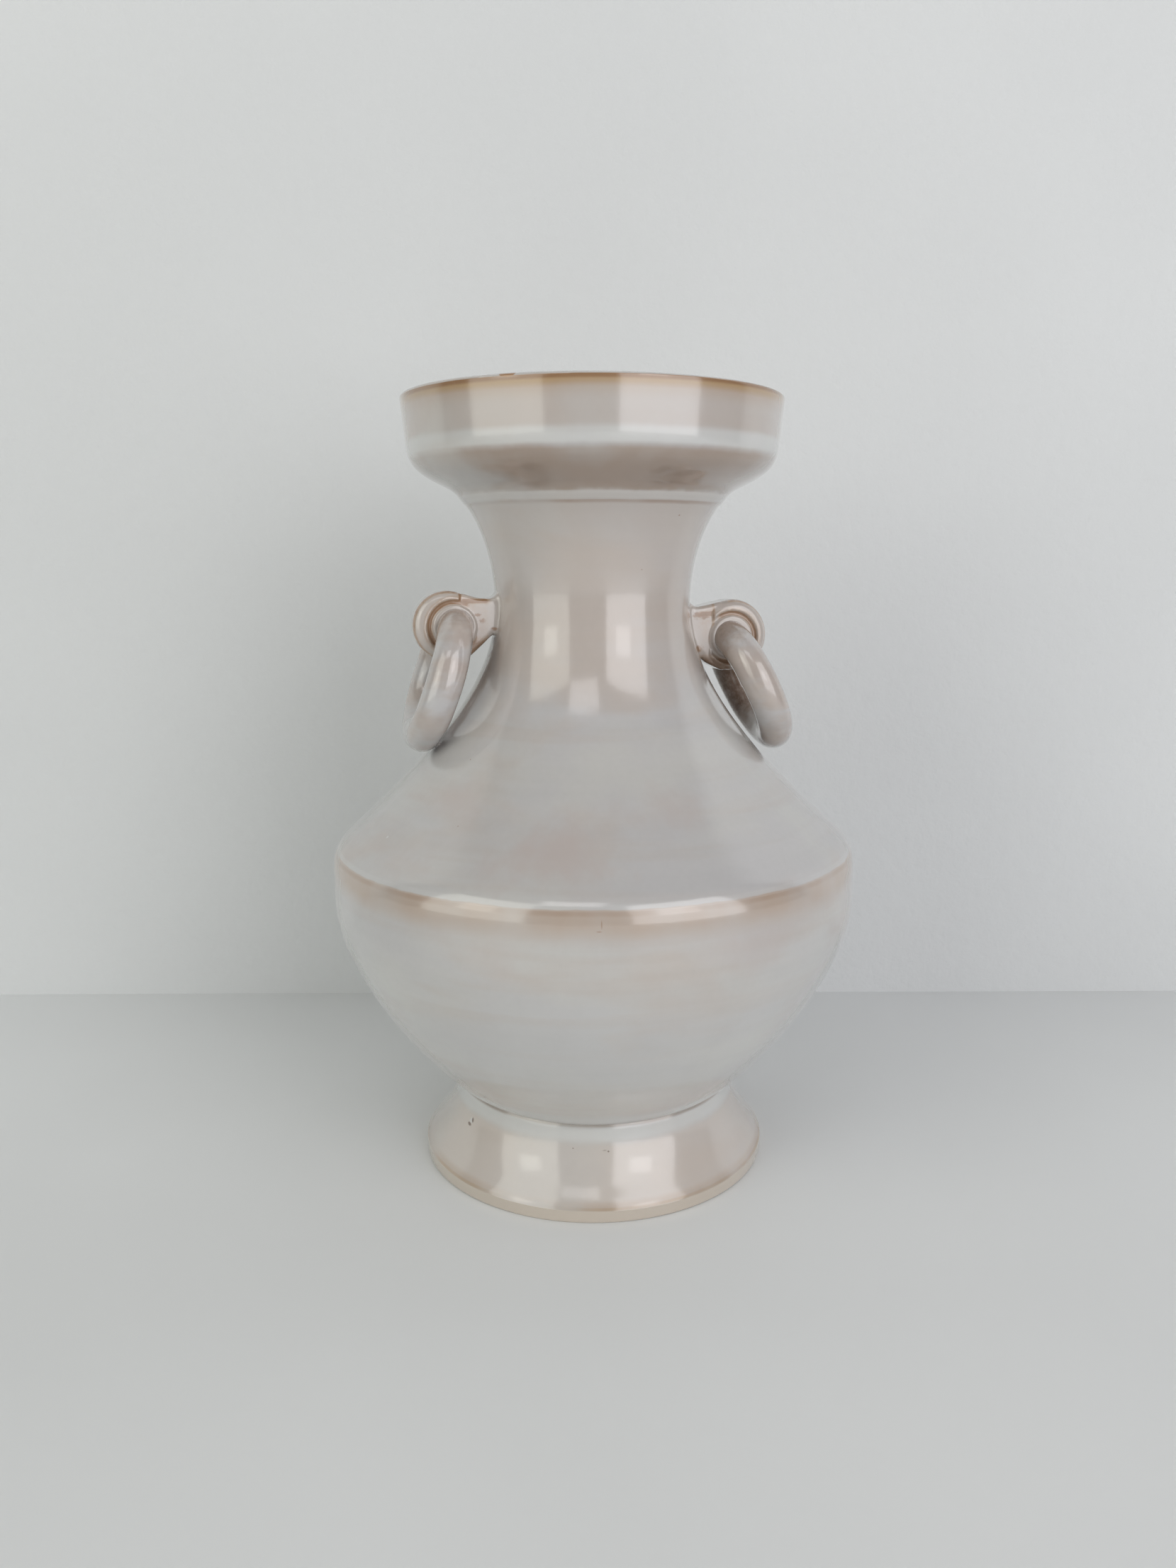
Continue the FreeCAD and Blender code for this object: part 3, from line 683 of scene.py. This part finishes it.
def vessel_bands(c, v):
    """The bands of thick and thin glaze and of painted shade, highlight and light, each a colour, its
    strength and its place.
    """
    rim, mouth, flare = (height / MM for height in (v.rim_height, v.mouth_height, v.flare_height))
    neck, belly, joint = (height / MM for height in (v.neck_height, v.belly_height, v.joint_height))
    foot = v.foot_lip / MM
    arris = belly + 18.6
    return [
        # the neck, the dish's wall and its underside
        (c.warm, 0.75, band(flare - 4, neck - 14, 3, 26, 12, 0.35)),
        (c.warm, 0.75, band(rim - 1, mouth + 4, 1, 5, 4, 0.35)),
        # painted shade under the dish, which faces down, with the glaze's brown grey tint
        (c.shadow, 0.75, band(mouth - 5.5, flare - 2.2, 2.0, 1.5, 4, 0.45)),
        (c.brown, 0.35, band(mouth - 5.5, flare - 1.5, 4.0, 2.5, 6, 0.95)),
        (c.thick_and_painted_light, 0.7, band(mouth + 0.6, mouth - 2.5, 2.5, 1.5, 1.2, 0.25)),
        (c.thick_and_painted_light, 0.4, band(flare - 3.4, flare - 5.4, 0.6, 0.8, 0.6, 0.2)),
        (c.brown, 0.45, band(flare - 6.2, flare - 6.5, 0.3, 1.1, 0.8, 0.85)),
        # the rim
        (c.tan, 0.65, band(rim - 1.1, rim - 2.5, 0.25, 7, 1.0, 0.3)),
        (c.ochre, 0.9, band(rim - 1.1, rim - 2.4, 0.25, 3.0, 0.6, 0.2)),
        (c.brown, 0.9, band(rim - 1.05, rim - 1.7, 0.25, 1.1, 0.3, 0.1)),
        # the arris between the shoulder and the belly
        (c.warm, 0.85, band(arris, arris - 8, 0.4, 5, 4, 0.3)),
        (c.tan, 0.5, band(arris - 0.2, arris - 5, 0.4, 5, 4, 0.75)),
        (c.brown, 0.25, band(arris - 0.6, arris - 1.2, 0.3, 1.2, 1, 0.9)),
        # painted highlight: a pale line along the arris's tight turn, where the windows are reflected
        (c.thick_and_painted_light, 0.25, band(arris + 1.4, arris + 0.5, 0.6, 0.5, 0.6, 0.8)),
        # the foot and its joint
        # painted light: the lower bowl made paler where light from the table falls on it
        (c.thick_and_painted_light, 0.4, band(belly - 30, joint + 4, 40, 3, 6, 0.4)),
        # the foot's pink glaze, made paler as painted light
        (c.rose_and_painted_light, 0.7, band(joint - 9, foot + 2, 5, 2, 5, 0.4)),
        # thick glaze on the ridge under the joint, with a painted highlight along it
        (c.thick_and_painted_light, 0.75, band(joint - 1.2, joint - 4.5, 0.4, 3.5, 1, 0.2)),
        # painted shade in the crevice where the foot meets the bowl
        (c.shadow, 0.6, band(joint + 0.5, joint - 0.4, 0.5, 0.4, 0.3, 0.3)),
        (c.tan, 0.45, band(foot + 1.4, foot, 2.2, 0.3, 1.0, 0.7)),
        (c.ochre, 0.42, band(foot + 0.7, foot + 0.2, 0.7, 0.2, 0.6, 0.85)),
        (c.clay, 0.9, band(foot - 0.1, -10, 0.4, 1, 0.2, 0.0)),
    ]


def vessel_clouds(c):
    """Wide pink clouds on the shoulder and the belly."""
    return [
        (c.blush, 0.8, mark((-29.2, -83.6, 143.7), (30, 20, 15), 0.0, 2.6)),
        (c.blush, 0.5, mark((-82.2, -48.3, 137.3), (18, 24, 9), 0.0, 2.6)),
        (c.blush, 0.6, mark((-60.3, -45.1, 156.5), (20, 20, 13), 0.0, 2.6)),
        (c.blush, 0.5, mark((12.0, -73.0, 155.0), (24, 18, 12), 0.0, 2.6)),
        (c.blush, 0.5, mark((33.0, -98.0, 110.7), (26, 14, 12), 0.0, 2.6)),
        (c.blush, 0.3, mark((-51.8, -89.6, 114.3), (22, 16, 9), 0.0, 2.6)),
    ]


def vessel_marks(c):
    """Shade, chips, pits and pinholes."""
    return [
        # painted shade where the rings keep the light off the neck
        (c.painted_ring_shade, 0.75, mark((-46, -1, 191), (15, 19, 32), 0.15, 0.2)),
        (c.painted_ring_shade, 0.75, mark((47, -1, 186), (15, 19, 32), 0.15, 0.2)),
        # pits and thin patches on the stems
        (c.brown, 0.8, mark((-46.4, -6.7, 219.8), (2.0, 2.5, 0.8), 0.2, 3.0)),
        (c.brown, 0.8, mark((-43.9, -6.7, 217.6), (1.6, 2.5, 1.2), 0.2, 3.0)),
        (c.brown, 0.9, mark((-39.2, -6.7, 214.6), (2.0, 2.5, 1.0), 0.2, 3.0)),
        (c.brown, 0.85, mark((42.2, -6.7, 218.4), (4.2, 2.5, 1.9), 0.45, 2.2)),
        (c.brown, 0.85, mark((41.6, -6.7, 205.6), (2.2, 2.5, 1.8), 0.4, 2.2)),
        # the foot's nick and specks, a hair crack under the arris, the rim's chip and three pinholes
        (c.thick_and_painted_light, 0.8, mark((-54.6, -21.9, 22.6), (1.6, 1.6, 1.6), 0.4, 1.0)),
        (c.umber_and_ring_shade, 0.9, mark((-53.8, -22.5, 22.9), (0.5, 1.0, 1.5), 0.4, 1.0)),
        (c.umber_and_ring_shade, 0.85, mark((-55.1, -21.5, 20.8), (1.1, 1.5, 0.75), 0.4, 1.2)),
        (c.umber_and_ring_shade, 0.7, mark((-6.9, -58.0, 22.5), (0.55, 1.0, 0.45), 0.4, 1.2)),
        (c.umber_and_ring_shade, 0.45, mark((-8.3, -57.6, 22.9), (1.2, 1.0, 0.4), 0.2, 1.8)),
        (c.umber_and_ring_shade, 0.6, mark((-19.8, -54.6, 23.5), (0.4, 1.0, 0.35))),
        (c.brown, 0.45, mark((-19.1, -101.2, 125.2), (0.3, 1.5, 1.9), 0.3, 0.4)),
        (c.brown, 0.4, mark((-20.0, -101.5, 123.0), (1.3, 1.5, 0.35), 0.3, 0.4)),
        (c.chip, 0.95, mark((-40.6, -58.6, 299.7), (3.0, 3.6, 1.2), 0.85, 0.35)),
        (c.brown, 0.5, mark((23.4, -39.1, 255.9), (0.5, 0.5, 0.4))),
        (c.brown, 0.4, mark((-60.2, -55.7, 149.8), (0.6, 0.6, 0.5))),
        (c.thick_and_painted_light, 0.9, mark((-83.8, -33.5, 142.1), (0.9, 0.9, 0.7))),
    ]


def make_glazes(scene):
    """The glazes of the vessel and of the rings, made once."""
    if "ivory_glaze" in bpy.data.materials:
        return bpy.data.materials["ivory_glaze"], bpy.data.materials["rosy_glaze"]
    c = scene.glaze_colours
    groups = {"mottle": mottle_group(), "wander": wander_group(), "band": band_group(), "mark": mark_group(),
              "pits": pit_group(), "relief": relief_group()}
    vase = glaze("ivory_glaze", c, groups, (c.pale, c.tan, c.brown), warmth=0.7, size=13.0, rings=0.6,
                 clouds=vessel_clouds(c), bands=vessel_bands(c, scene.vessel_sizes), marks=vessel_marks(c))
    ring = glaze("rosy_glaze", c, groups, (c.ring, c.ring_thin_and_shade, c.umber_and_ring_shade), warmth=0.7, size=45.0, rings=0.0)
    return vase, ring


# Pieces


class VASE_OT_vessel(bpy.types.Operator):
    """Throws the vessel: traces its wall and spins it round the axis"""

    bl_idname = "vase.vessel"
    bl_label = "Vessel"

    def execute(self, context):
        v = context.scene.vessel_sizes
        piece = trace("vessel", underside(v) + outside(v) + lip(v) + inside(v))
        bpy.ops.mesh.spin(steps=v.segments, angle=2 * math.pi, center=(0, 0, 0), axis=(0, 0, 1))
        close_up()
        self.lean_mouth(piece, v)
        wander(piece, v.unevenness, 60 * MM, "uneven_clay")
        smooth_shading(piece, 35)
        dress(piece, make_glazes(context.scene)[0], "vase_body")
        return {"FINISHED"}

    def lean_mouth(self, piece, v):
        """Leans the mouth down to the right, more and more above the neck."""
        lean = piece.vertex_groups.new(name="lean")
        for vert in piece.data.vertices:
            lean.add([vert.index], ease(vert.co.z, v.neck_height, v.mouth_height), "REPLACE")
        slope = bpy.data.textures.new("mouth_slope", "BLEND")
        finish_with(piece, "DISPLACE", texture=slope, direction="Z", strength=-2 * math.sin(v.mouth_tilt),
                    mid_level=0.5, texture_coords="LOCAL", vertex_group="lean")
        piece.vertex_groups.clear()


def solid_from(name, points, depth):
    """A solid with the outline given in the XZ plane, as deep in Y as asked and centred there."""
    piece = trace(name, points)
    bpy.ops.mesh.edge_face_add()
    bpy.ops.mesh.extrude_region_move(TRANSFORM_OT_translate={"value": (0, depth, 0)})
    pick_all()
    bpy.ops.transform.translate(value=(0, -depth / 2, 0))
    close_up()
    return piece


# What differs between the lugs. Lengths are in millimetres, and X counts outwards from the axis.
# hole is the middle of the ring's channel, and stem_middle the stem's height where it meets the neck.
# collar is the thickness of the glaze round the ring, as the radius of a tube.
# cut is the outline of what the eye's faces lose beside the stem, and stem is the stem's own outline.
# roll_end is where the roll's cut end stands, and end_brown how brown it is.
# top_edge is how far the stem's brown upper edge lies above the eye's middle.
# low and lowest are how far under the eye's middle the brown under the stem starts, and is full.
LUGS = {
    "left": SimpleNamespace(
        sign=-1, hole=(54.6, 215.4), stem_middle=218.5, collar=0.85,
        cut=[(30, 240), (52.6, 236), (52.6, 221), (46.8, 214), (46.5, 195), (30, 195)],
        stem=[(34, 230), (37.5, 228.6), (39.9, 225.9), (45.6, 226.3), (52.5, 228.3), (57, 222), (56, 208),
              (52, 203.6), (48.7, 204.4), (43, 209.6), (39.3, 213), (37.6, 211), (34, 207)],
        roll_end=52.4, end_brown=0.9, top_edge=9.2, low=1, lowest=8),
    "right": SimpleNamespace(
        sign=1, hole=(54.9, 209.9), stem_middle=212.5, collar=0.6,
        cut=[(30, 235), (47.0, 232), (47.4, 217), (45.6, 209), (47.5, 195), (30, 190)],
        stem=[(34, 226), (37.5, 224.4), (40, 221.7), (45, 222.5), (52, 224.1), (57, 218), (57, 202),
              (54.5, 197), (51.4, 196.8), (45, 199.8), (41.3, 203.3), (38.4, 203.6), (34, 199)],
        roll_end=47.3, end_brown=0.5, top_edge=8.6, low=5, lowest=11),
}
# The turn that lays a shape's axis along Y
ACROSS = Euler((math.pi / 2, 0, 0))
CUT_DEPTH = 10 * MM
# The groove round the collar, in the eye's face
GROOVE_RADIUS = 9.4 * MM
GROOVE_TUBE = 1.25 * MM
COLLAR_RADIUS = 7.35 * MM
# How thick the pad of clay is where a stem runs into the neck
PAD = 2.8 * MM


def eye_sizes(g, side):
    """An eye's distance from the axis, its height and its radius."""
    return (getattr(g, f"{side}_{size}") for size in ("reach", "height", "radius"))


def hoop(name, place, radius, tube):
    """A ring of round section that stands across the lug."""
    fresh()
    bpy.ops.mesh.primitive_torus_add(major_radius=radius, minor_radius=tube, major_segments=72,
                                     minor_segments=16, location=place, rotation=ACROSS)
    made = named(name)
    settle(made)
    return made


def lug_clay(g, side):
    """The raw parts of one lug: the eye with its grooves, the stem and the collars."""
    plan = LUGS[side]
    reach, height, radius = eye_sizes(g, side)
    hole = Vector((plan.sign * plan.hole[0] * MM, 0, plan.hole[1] * MM))
    fresh()
    bpy.ops.mesh.primitive_cylinder_add(vertices=96, radius=radius, depth=g.width,
                                        location=(plan.sign * reach, 0, height), rotation=ACROSS)
    eye = named(f"{side}_eye")
    settle(eye)
    finish_with(eye, "BEVEL", width=g.edge, segments=6, limit_method="ANGLE", angle_limit=math.radians(60))
    collars = []
    for face in (-1, 1):
        cut_away(eye, hoop("groove", hole + Vector((0, face * g.width / 2, 0)), GROOVE_RADIUS, GROOVE_TUBE))
        cut = solid_from("cut", [(plan.sign * x * MM, z * MM) for x, z in plan.cut], CUT_DEPTH)
        only(cut)
        bpy.ops.transform.translate(value=(0, face * (g.stem_width + CUT_DEPTH) / 2, 0))
        settle(cut)
        cut_away(eye, cut)
        place = hole + Vector((0, face * (g.width / 2 - 0.7 * MM), 0))
        collars.append(hoop("collar", place, COLLAR_RADIUS, plan.collar * MM))
    stem = solid_from(f"{side}_stem", [(plan.sign * x * MM, z * MM) for x, z in plan.stem], g.stem_width)
    finish_with(stem, "BEVEL", width=1.7 * MM, segments=4, limit_method="ANGLE", angle_limit=math.radians(50))
    return [eye, stem] + collars


def neck_sheet(neck, plan, steps, angle):
    """A bare sheet of the neck's own outer surface round one lug, its faces outwards."""
    points = []
    for step in range(-steps, steps + 1):
        z = (plan.stem_middle + step * 1.5) * MM
        points.append((neck.radius(z), z))
    sheet = trace("neck_sheet", points)
    bpy.ops.mesh.spin(steps=48, angle=angle, center=(0, 0, 0), axis=(0, 0, 1))
    close_up()
    faces = sheet.data.polygons
    if sum(face.normal.x * face.center.x + face.normal.y * face.center.y for face in faces) < 0:
        only(sheet)
        bpy.ops.object.mode_set(mode="EDIT")
        pick_all()
        bpy.ops.mesh.flip_normals()
        bpy.ops.object.mode_set(mode="OBJECT")
    verts = sheet.data.vertices
    heading = math.atan2(sum(vert.co.y for vert in verts), sum(vert.co.x for vert in verts))
    sheet.rotation_euler = (0, 0, (0 if plan.sign > 0 else math.pi) - heading)
    settle(sheet)
    return sheet


def neck_pad(neck, plan):
    """A patch of the neck that the stem's root blends into."""
    pad = neck_sheet(neck, plan, 16, math.radians(56))
    finish_with(pad, "SOLIDIFY", thickness=PAD, offset=-1)
    return pad


def soften(piece, weights, times):
    """Smooths the places that have weight."""
    marks = piece.vertex_groups.new(name="soften")
    for number, weight in enumerate(weights):
        if weight > 0:
            marks.add([number], weight, "REPLACE")
    finish_with(piece, "SMOOTH", factor=0.5, iterations=times, vertex_group="soften")
    piece.vertex_groups.clear()


def store_thin_glaze_and_shade(piece, values):
    """Keeps at each vertex how thin the glaze is, and on the rings how much painted shade, for the material.
    """
    layer = piece.data.attributes.new("thin_glaze", "FLOAT", "POINT")
    layer.data.foreach_set("value", values)


class VASE_OT_lugs(bpy.types.Operator):
    """Models the two curled lugs and blends their stems into the neck"""

    bl_idname = "vase.lugs"
    bl_label = "Lugs"

    def execute(self, context):
        scene = context.scene
        v = scene.vessel_sizes
        g = scene.lug_sizes
        neck = NeckSurface(v)
        for side, plan in LUGS.items():
            piece = join(lug_clay(g, side) + [neck_pad(neck, plan)], f"{side}_lug")
            finish_with(piece, "REMESH", mode="VOXEL", voxel_size=g.grain, use_smooth_shade=True)
            finish_with(piece, "SMOOTH", factor=0.5, iterations=4)
            near = [1 - ease(neck.off(vert.co), 1.5 * MM, 4.0 * MM) for vert in piece.data.vertices]
            soften(piece, near, 40)
            self.lay_on_neck(piece, neck, plan)
            self.mark_browning(piece, g, side)
            wander(piece, v.unevenness, 60 * MM, "uneven_clay")
            smooth_shading(piece, 60)
            dress(piece, make_glazes(scene)[0], "vase_body")
        return {"FINISHED"}

    def lay_on_neck(self, piece, neck, plan):
        """Lets the pad's border sink under the neck's surface, and keeps its middle just on it."""
        on_neck = piece.vertex_groups.new(name="on_neck")
        border = piece.vertex_groups.new(name="border")
        for vert in piece.data.vertices:
            off = neck.off(vert.co)
            if -1.2 * MM <= off <= 0.5 * MM:
                hold = 1 - ease(off, 0.05 * MM, 0.5 * MM)
                spread = math.hypot(vert.co.y / (12 * MM), (vert.co.z - plan.stem_middle * MM) / (17 * MM))
                on_neck.add([vert.index], hold, "REPLACE")
                border.add([vert.index], hold * ease(spread, 0.85, 1.15), "REPLACE")
        sheet = neck_sheet(neck, plan, 20, math.radians(72))
        for weights, offset in (("on_neck", 0.05 * MM), ("border", -0.45 * MM)):
            finish_with(piece, "SHRINKWRAP", target=sheet, wrap_method="NEAREST_SURFACEPOINT",
                        wrap_mode="ABOVE_SURFACE", offset=offset, vertex_group=weights)
        bpy.data.objects.remove(sheet)
        piece.vertex_groups.clear()

    def mark_browning(self, piece, g, side):
        """The glaze is thin in the groove, on the roll's edge and cut end, and on the stem's edges."""
        plan = LUGS[side]
        reach, height, radius = eye_sizes(g, side)
        roll_end = plan.roll_end * MM
        outward = Vector((0.95, 0.0, 0.30)).normalized()
        values = []
        for vert in piece.data.vertices:
            x, face, z = plan.sign * vert.co.x, abs(vert.co.y), vert.co.z
            from_hole = Vector((x - plan.hole[0] * MM, 0, z - plan.hole[1] * MM))
            from_eye = math.hypot(x - reach, z - height)
            on_face = ease(face, 4.6 * MM, 5.8 * MM)
            round_hole = on_face * ease(from_hole.normalized().dot(outward), -0.45, -0.1)
            groove = peak(from_hole.length, 9.1 * MM, 0.8 * MM, 1.9 * MM) * round_hole
            beside = peak(from_hole.length, 11.0 * MM, 0.6 * MM, 1.6 * MM) * round_hole
            edge = peak(from_eye, radius - 0.2 * MM, 0.4 * MM, 1.4 * MM) * ease(x, 52 * MM, 55 * MM)
            edge *= peak(face, 5.4 * MM, 0.8 * MM, 1.8 * MM)
            end = peak(x, roll_end, 0.2 * MM, 1.0 * MM) * on_face * ease(z, height, height + 2 * MM)
            end *= ease(from_eye, radius - 6 * MM, radius - 5 * MM)
            stem = on_face * ease(x, 39.3 * MM, 43.5 * MM) * (1 - ease(x, roll_end - 1 * MM, roll_end))
            top = peak(z, height + plan.top_edge * MM, 0.4 * MM, 1.5 * MM) * stem
            low = 1 - ease(z, height - plan.lowest * MM, height - plan.low * MM)
            low *= ease(face, 2 * MM, 5 * MM) * ease(x, 40.5 * MM, 42.5 * MM)
            low *= 1 - ease(x, 53 * MM, 56 * MM)
            browning = max(groove, 0.3 * beside, 0.65 * edge, plan.end_brown * end, 0.95 * top, 0.85 * low,
                       0.22 * stem)
            values.append(browning * ease(from_hole.length, 8.4 * MM, 9.0 * MM))
        store_thin_glaze_and_shade(piece, values)


class VASE_OT_rings(bpy.types.Operator):
    """Models the two thick rings in the lugs"""

    bl_idname = "vase.rings"
    bl_label = "Rings"

    def execute(self, context):
        scene = context.scene
        r = scene.ring_sizes
        for side in ("left", "right"):
            tilt = getattr(r, f"{side}_tilt")
            heading = getattr(r, f"{side}_turn")
            low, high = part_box(f"{side}_ring")
            level = math.cos(tilt)
            facing = Vector((math.cos(heading) * level, math.sin(heading) * level, math.sin(tilt)))
            down = (facing * facing.z - Vector((0, 0, 1))).normalized()
            middle = (low + high) / 2 + down * r.hang
            fresh()
            bpy.ops.mesh.primitive_torus_add(major_radius=r.radius, minor_radius=r.tube, major_segments=144,
                                             minor_segments=48, location=middle,
                                             rotation=facing.to_track_quat("Z", "Y").to_euler())
            piece = named(f"{side}_ring_glazed")
            settle(piece)
            if side == "left":
                piece = join([piece, self.glaze_drop()], piece.name)
                finish_with(piece, "REMESH", mode="VOXEL", voxel_size=0.5 * MM, use_smooth_shade=True)
                finish_with(piece, "SMOOTH", factor=0.5, iterations=8)
            wander(piece, r.unevenness, 16 * MM, "uneven_ring")
            self.mark_browning(piece, r, side, middle, facing)
            smooth_shading(piece, 60)
            dress(piece, make_glazes(scene)[1], f"{side}_ring")
        return {"FINISHED"}

    def glaze_drop(self):
        """The drop of glaze that sticks the left ring to the shoulder."""
        fresh()
        bpy.ops.mesh.primitive_ico_sphere_add(subdivisions=4, radius=1 * MM,
                                              location=(-60.9 * MM, -3.2 * MM, 169.6 * MM),
                                              rotation=(0, math.radians(-47), math.radians(20)))
        drop = named("drop")
        drop.scale = (1.8, 4.6, 2.2)
        settle(drop)
        return drop

    def mark_browning(self, piece, r, side, middle, facing):
        """Paints shade on the far arms, most inside the right ring's, and a little on the inner sides; the
        glaze is browner where a ring leaves its eye.
        """
        worn_brown = 0.28 if side == "left" else 0.5
        values = []
        for vert in piece.data.vertices:
            place = vert.co - middle
            out = (place - facing * place.dot(facing)).normalized()
            inner = -(place - out * r.radius).dot(out) / r.tube
            far = ease(place.y, 2 * MM, 16 * MM)
            worn = peak(place.y, 0, 11 * MM, 23 * MM) * ease(place.z, 4 * MM, 16 * MM)
            # painted shade on the far arm, dark inside the right ring's and faint on the left ring's
            shaded = 0.75 * ease(inner, -0.9, 0.5) * far if side == "right" else 0.1 * far
            values.append(max(shaded, worn_brown * worn, 0.12 * ease(inner, 0, 1)))
        store_thin_glaze_and_shade(piece, values)


# Stage


def plain_material(name, colour, roughness, grain):
    """A plain painted surface, a little cloudy. Its shader is left for the caller to join up."""
    made, t = new_material(name)
    place = t.add("ShaderNodeTexCoord").outputs["Object"]
    cloud = t.between(t.cloud(place, 3.0, 3.0), 0.3, 0.7, 0.97, 1.03)
    grey = t.add("ShaderNodeCombineColor", {0: cloud, 1: cloud, 2: cloud}).outputs[0]
    tone = t.mix(1.0, opaque(colour), grey, "MULTIPLY")
    bump = t.add("ShaderNodeBump", {"Height": t.cloud(place, 160.0, 4.0, 0.6), "Strength": grain,
                                    "Distance": 0.001})
    shader = t.add("ShaderNodeBsdfPrincipled", {"Base Color": tone, "Roughness": roughness,
                                                "Normal": bump.outputs[0], "Specular IOR Level": 0.3})
    return made, t, shader


CAMERA_PLACE = (-0.09844, -0.45528, 0.2412)
CAMERA_PITCH = math.radians(79.11)
CAMERA_ROLL = math.radians(0.177)
CAMERA_HEADING = math.radians(11.994)
CAMERA_LENS = 27.05

WARM_LIGHT = (1.0, 1.0, 0.92)
COOL_LIGHT = (1.0, 0.985, 1.0)
ROOM_LIGHT = (0.97, 0.985, 1.0, 1.0)
# Each lamp's name, its heading to the right of the camera in degrees, its width and height, its distance,
# the height of its middle, its share of the window's power and its tint.
# The two skies are brighter patches in the windows.
LAMPS = (
    ("left_window", -49.7, 1.23, 1.66, 1.5, 0.85, 0.63, WARM_LIGHT),
    ("right_window", 39.0, 1.32, 1.66, 1.5, 0.85, 1.0, COOL_LIGHT),
    ("left_sky", -49.0, 0.36, 0.42, 1.35, 0.68, 0.04, WARM_LIGHT),
    ("right_sky", 35.0, 0.40, 0.46, 1.35, 0.72, 0.05, COOL_LIGHT),
    ("high_window", -10.5, 0.70, 0.40, 1.2, 1.55, 0.10, COOL_LIGHT),
)


class VASE_OT_stage(bpy.types.Operator):
    """Sets up the table, the wall, the windows' light and the camera"""

    bl_idname = "vase.stage"
    bl_label = "Stage"

    def execute(self, context):
        scene = context.scene
        s = scene.stage_settings
        self.table_and_wall(s)
        self.lights(scene, s)
        self.camera(scene)
        scene.view_settings.view_transform = "Standard"
        return {"FINISHED"}

    def table_and_wall(self, s):
        """A table that fills the view, and a wall behind it that can't be seen from its back."""
        fresh()
        bpy.ops.mesh.primitive_plane_add(size=8, rotation=(0, 0, -CAMERA_HEADING))
        table = named("table")
        settle(table)
        made, t, shader = plain_material("table_paint", s.table, 0.45, 0.05)
        t.links.new(shader.outputs[0], t.add("ShaderNodeOutputMaterial").inputs[0])
        table.data.materials.append(made)
        forward = Vector((math.sin(CAMERA_HEADING), math.cos(CAMERA_HEADING), 0))
        fresh()
        bpy.ops.mesh.primitive_plane_add(size=8, location=forward * s.wall_distance + Vector((0, 0, 4)),
                                         rotation=(math.pi / 2, 0, -CAMERA_HEADING))
        wall = named("wall")
        settle(wall)
        made, t, shader = plain_material("wall_paint", s.wall, 0.9, 0.5)
        behind_wall = t.add("ShaderNodeNewGeometry").outputs["Backfacing"]
        clear = t.add("ShaderNodeBsdfTransparent")
        either = t.add("ShaderNodeMixShader", {0: behind_wall, 1: shader.outputs[0], 2: clear.outputs[0]})
        t.links.new(either.outputs[0], t.add("ShaderNodeOutputMaterial").inputs[0])
        wall.data.materials.append(made)
        wall.visible_shadow = False

    def lights(self, scene, s):
        """Two tall windows behind the camera, a high one, and the room's own light."""
        for name, heading, width, tall, reach, middle, power, tint in LAMPS:
            angle = math.radians(heading) - CAMERA_HEADING
            place = Vector((math.sin(angle) * reach, -math.cos(angle) * reach, middle))
            bpy.ops.object.light_add(type="AREA", location=place)
            lamp = bpy.context.object
            lamp.name = name
            lamp.data.shape = "RECTANGLE"
            lamp.data.size = width
            lamp.data.size_y = tall
            lamp.data.energy = s.window_light * power
            lamp.data.color = tint
            aim = Vector((0, 0, 0.2 if name == "high_window" else middle)) - place
            lamp.rotation_euler = aim.to_track_quat("-Z", "Y").to_euler()
        world = bpy.data.worlds.new("room")
        scene.world = world
        world.use_nodes = True
        back = world.node_tree.nodes["Background"]
        back.inputs["Color"].default_value = ROOM_LIGHT
        back.inputs["Strength"].default_value = s.room_light

    def camera(self, scene):
        """The camera stands where the photograph was taken from."""
        bpy.ops.object.camera_add(location=CAMERA_PLACE,
                                  rotation=(CAMERA_PITCH, CAMERA_ROLL, -CAMERA_HEADING))
        camera = bpy.context.object
        camera.name = "camera"
        camera.data.sensor_fit = "AUTO"
        camera.data.sensor_width = 36.0
        camera.data.lens = CAMERA_LENS
        camera.data.clip_start = 0.01
        camera.data.clip_end = 50.0
        scene.camera = camera


class VASE_PT_panel(bpy.types.Panel):
    """Lists the steps and the sizes"""

    bl_label = "Ring-handled vase"
    bl_idname = "VASE_PT_panel"
    bl_space_type = "VIEW_3D"
    bl_region_type = "UI"
    bl_category = "Vase"

    def draw(self, context):
        layout = self.layout
        for step in STEPS:
            layout.operator(step.bl_idname)
        for name in SETTINGS:
            box = layout.box()
            settings = getattr(context.scene, name)
            for key in settings.__annotations__:
                box.prop(settings, key)


STEPS = (VASE_OT_vessel, VASE_OT_lugs, VASE_OT_rings, VASE_OT_stage)
SETTINGS = {
    "vessel_sizes": VesselSizes,
    "lug_sizes": LugSizes,
    "ring_sizes": RingSizes,
    "glaze_colours": GlazeColours,
    "stage_settings": StageSettings,
}


def register():
    for name, kind in SETTINGS.items():
        bpy.utils.register_class(kind)
        setattr(bpy.types.Scene, name, PointerProperty(type=kind))
    for step in STEPS:
        bpy.utils.register_class(step)
    bpy.utils.register_class(VASE_PT_panel)


def unregister():
    bpy.utils.unregister_class(VASE_PT_panel)
    for step in reversed(STEPS):
        bpy.utils.unregister_class(step)
    for name, kind in SETTINGS.items():
        delattr(bpy.types.Scene, name)
        bpy.utils.unregister_class(kind)


def main():
    register()
    bpy.ops.vase.vessel()
    bpy.ops.vase.lugs()
    bpy.ops.vase.rings()
    bpy.ops.vase.stage()


if __name__ == "__main__":
    main()
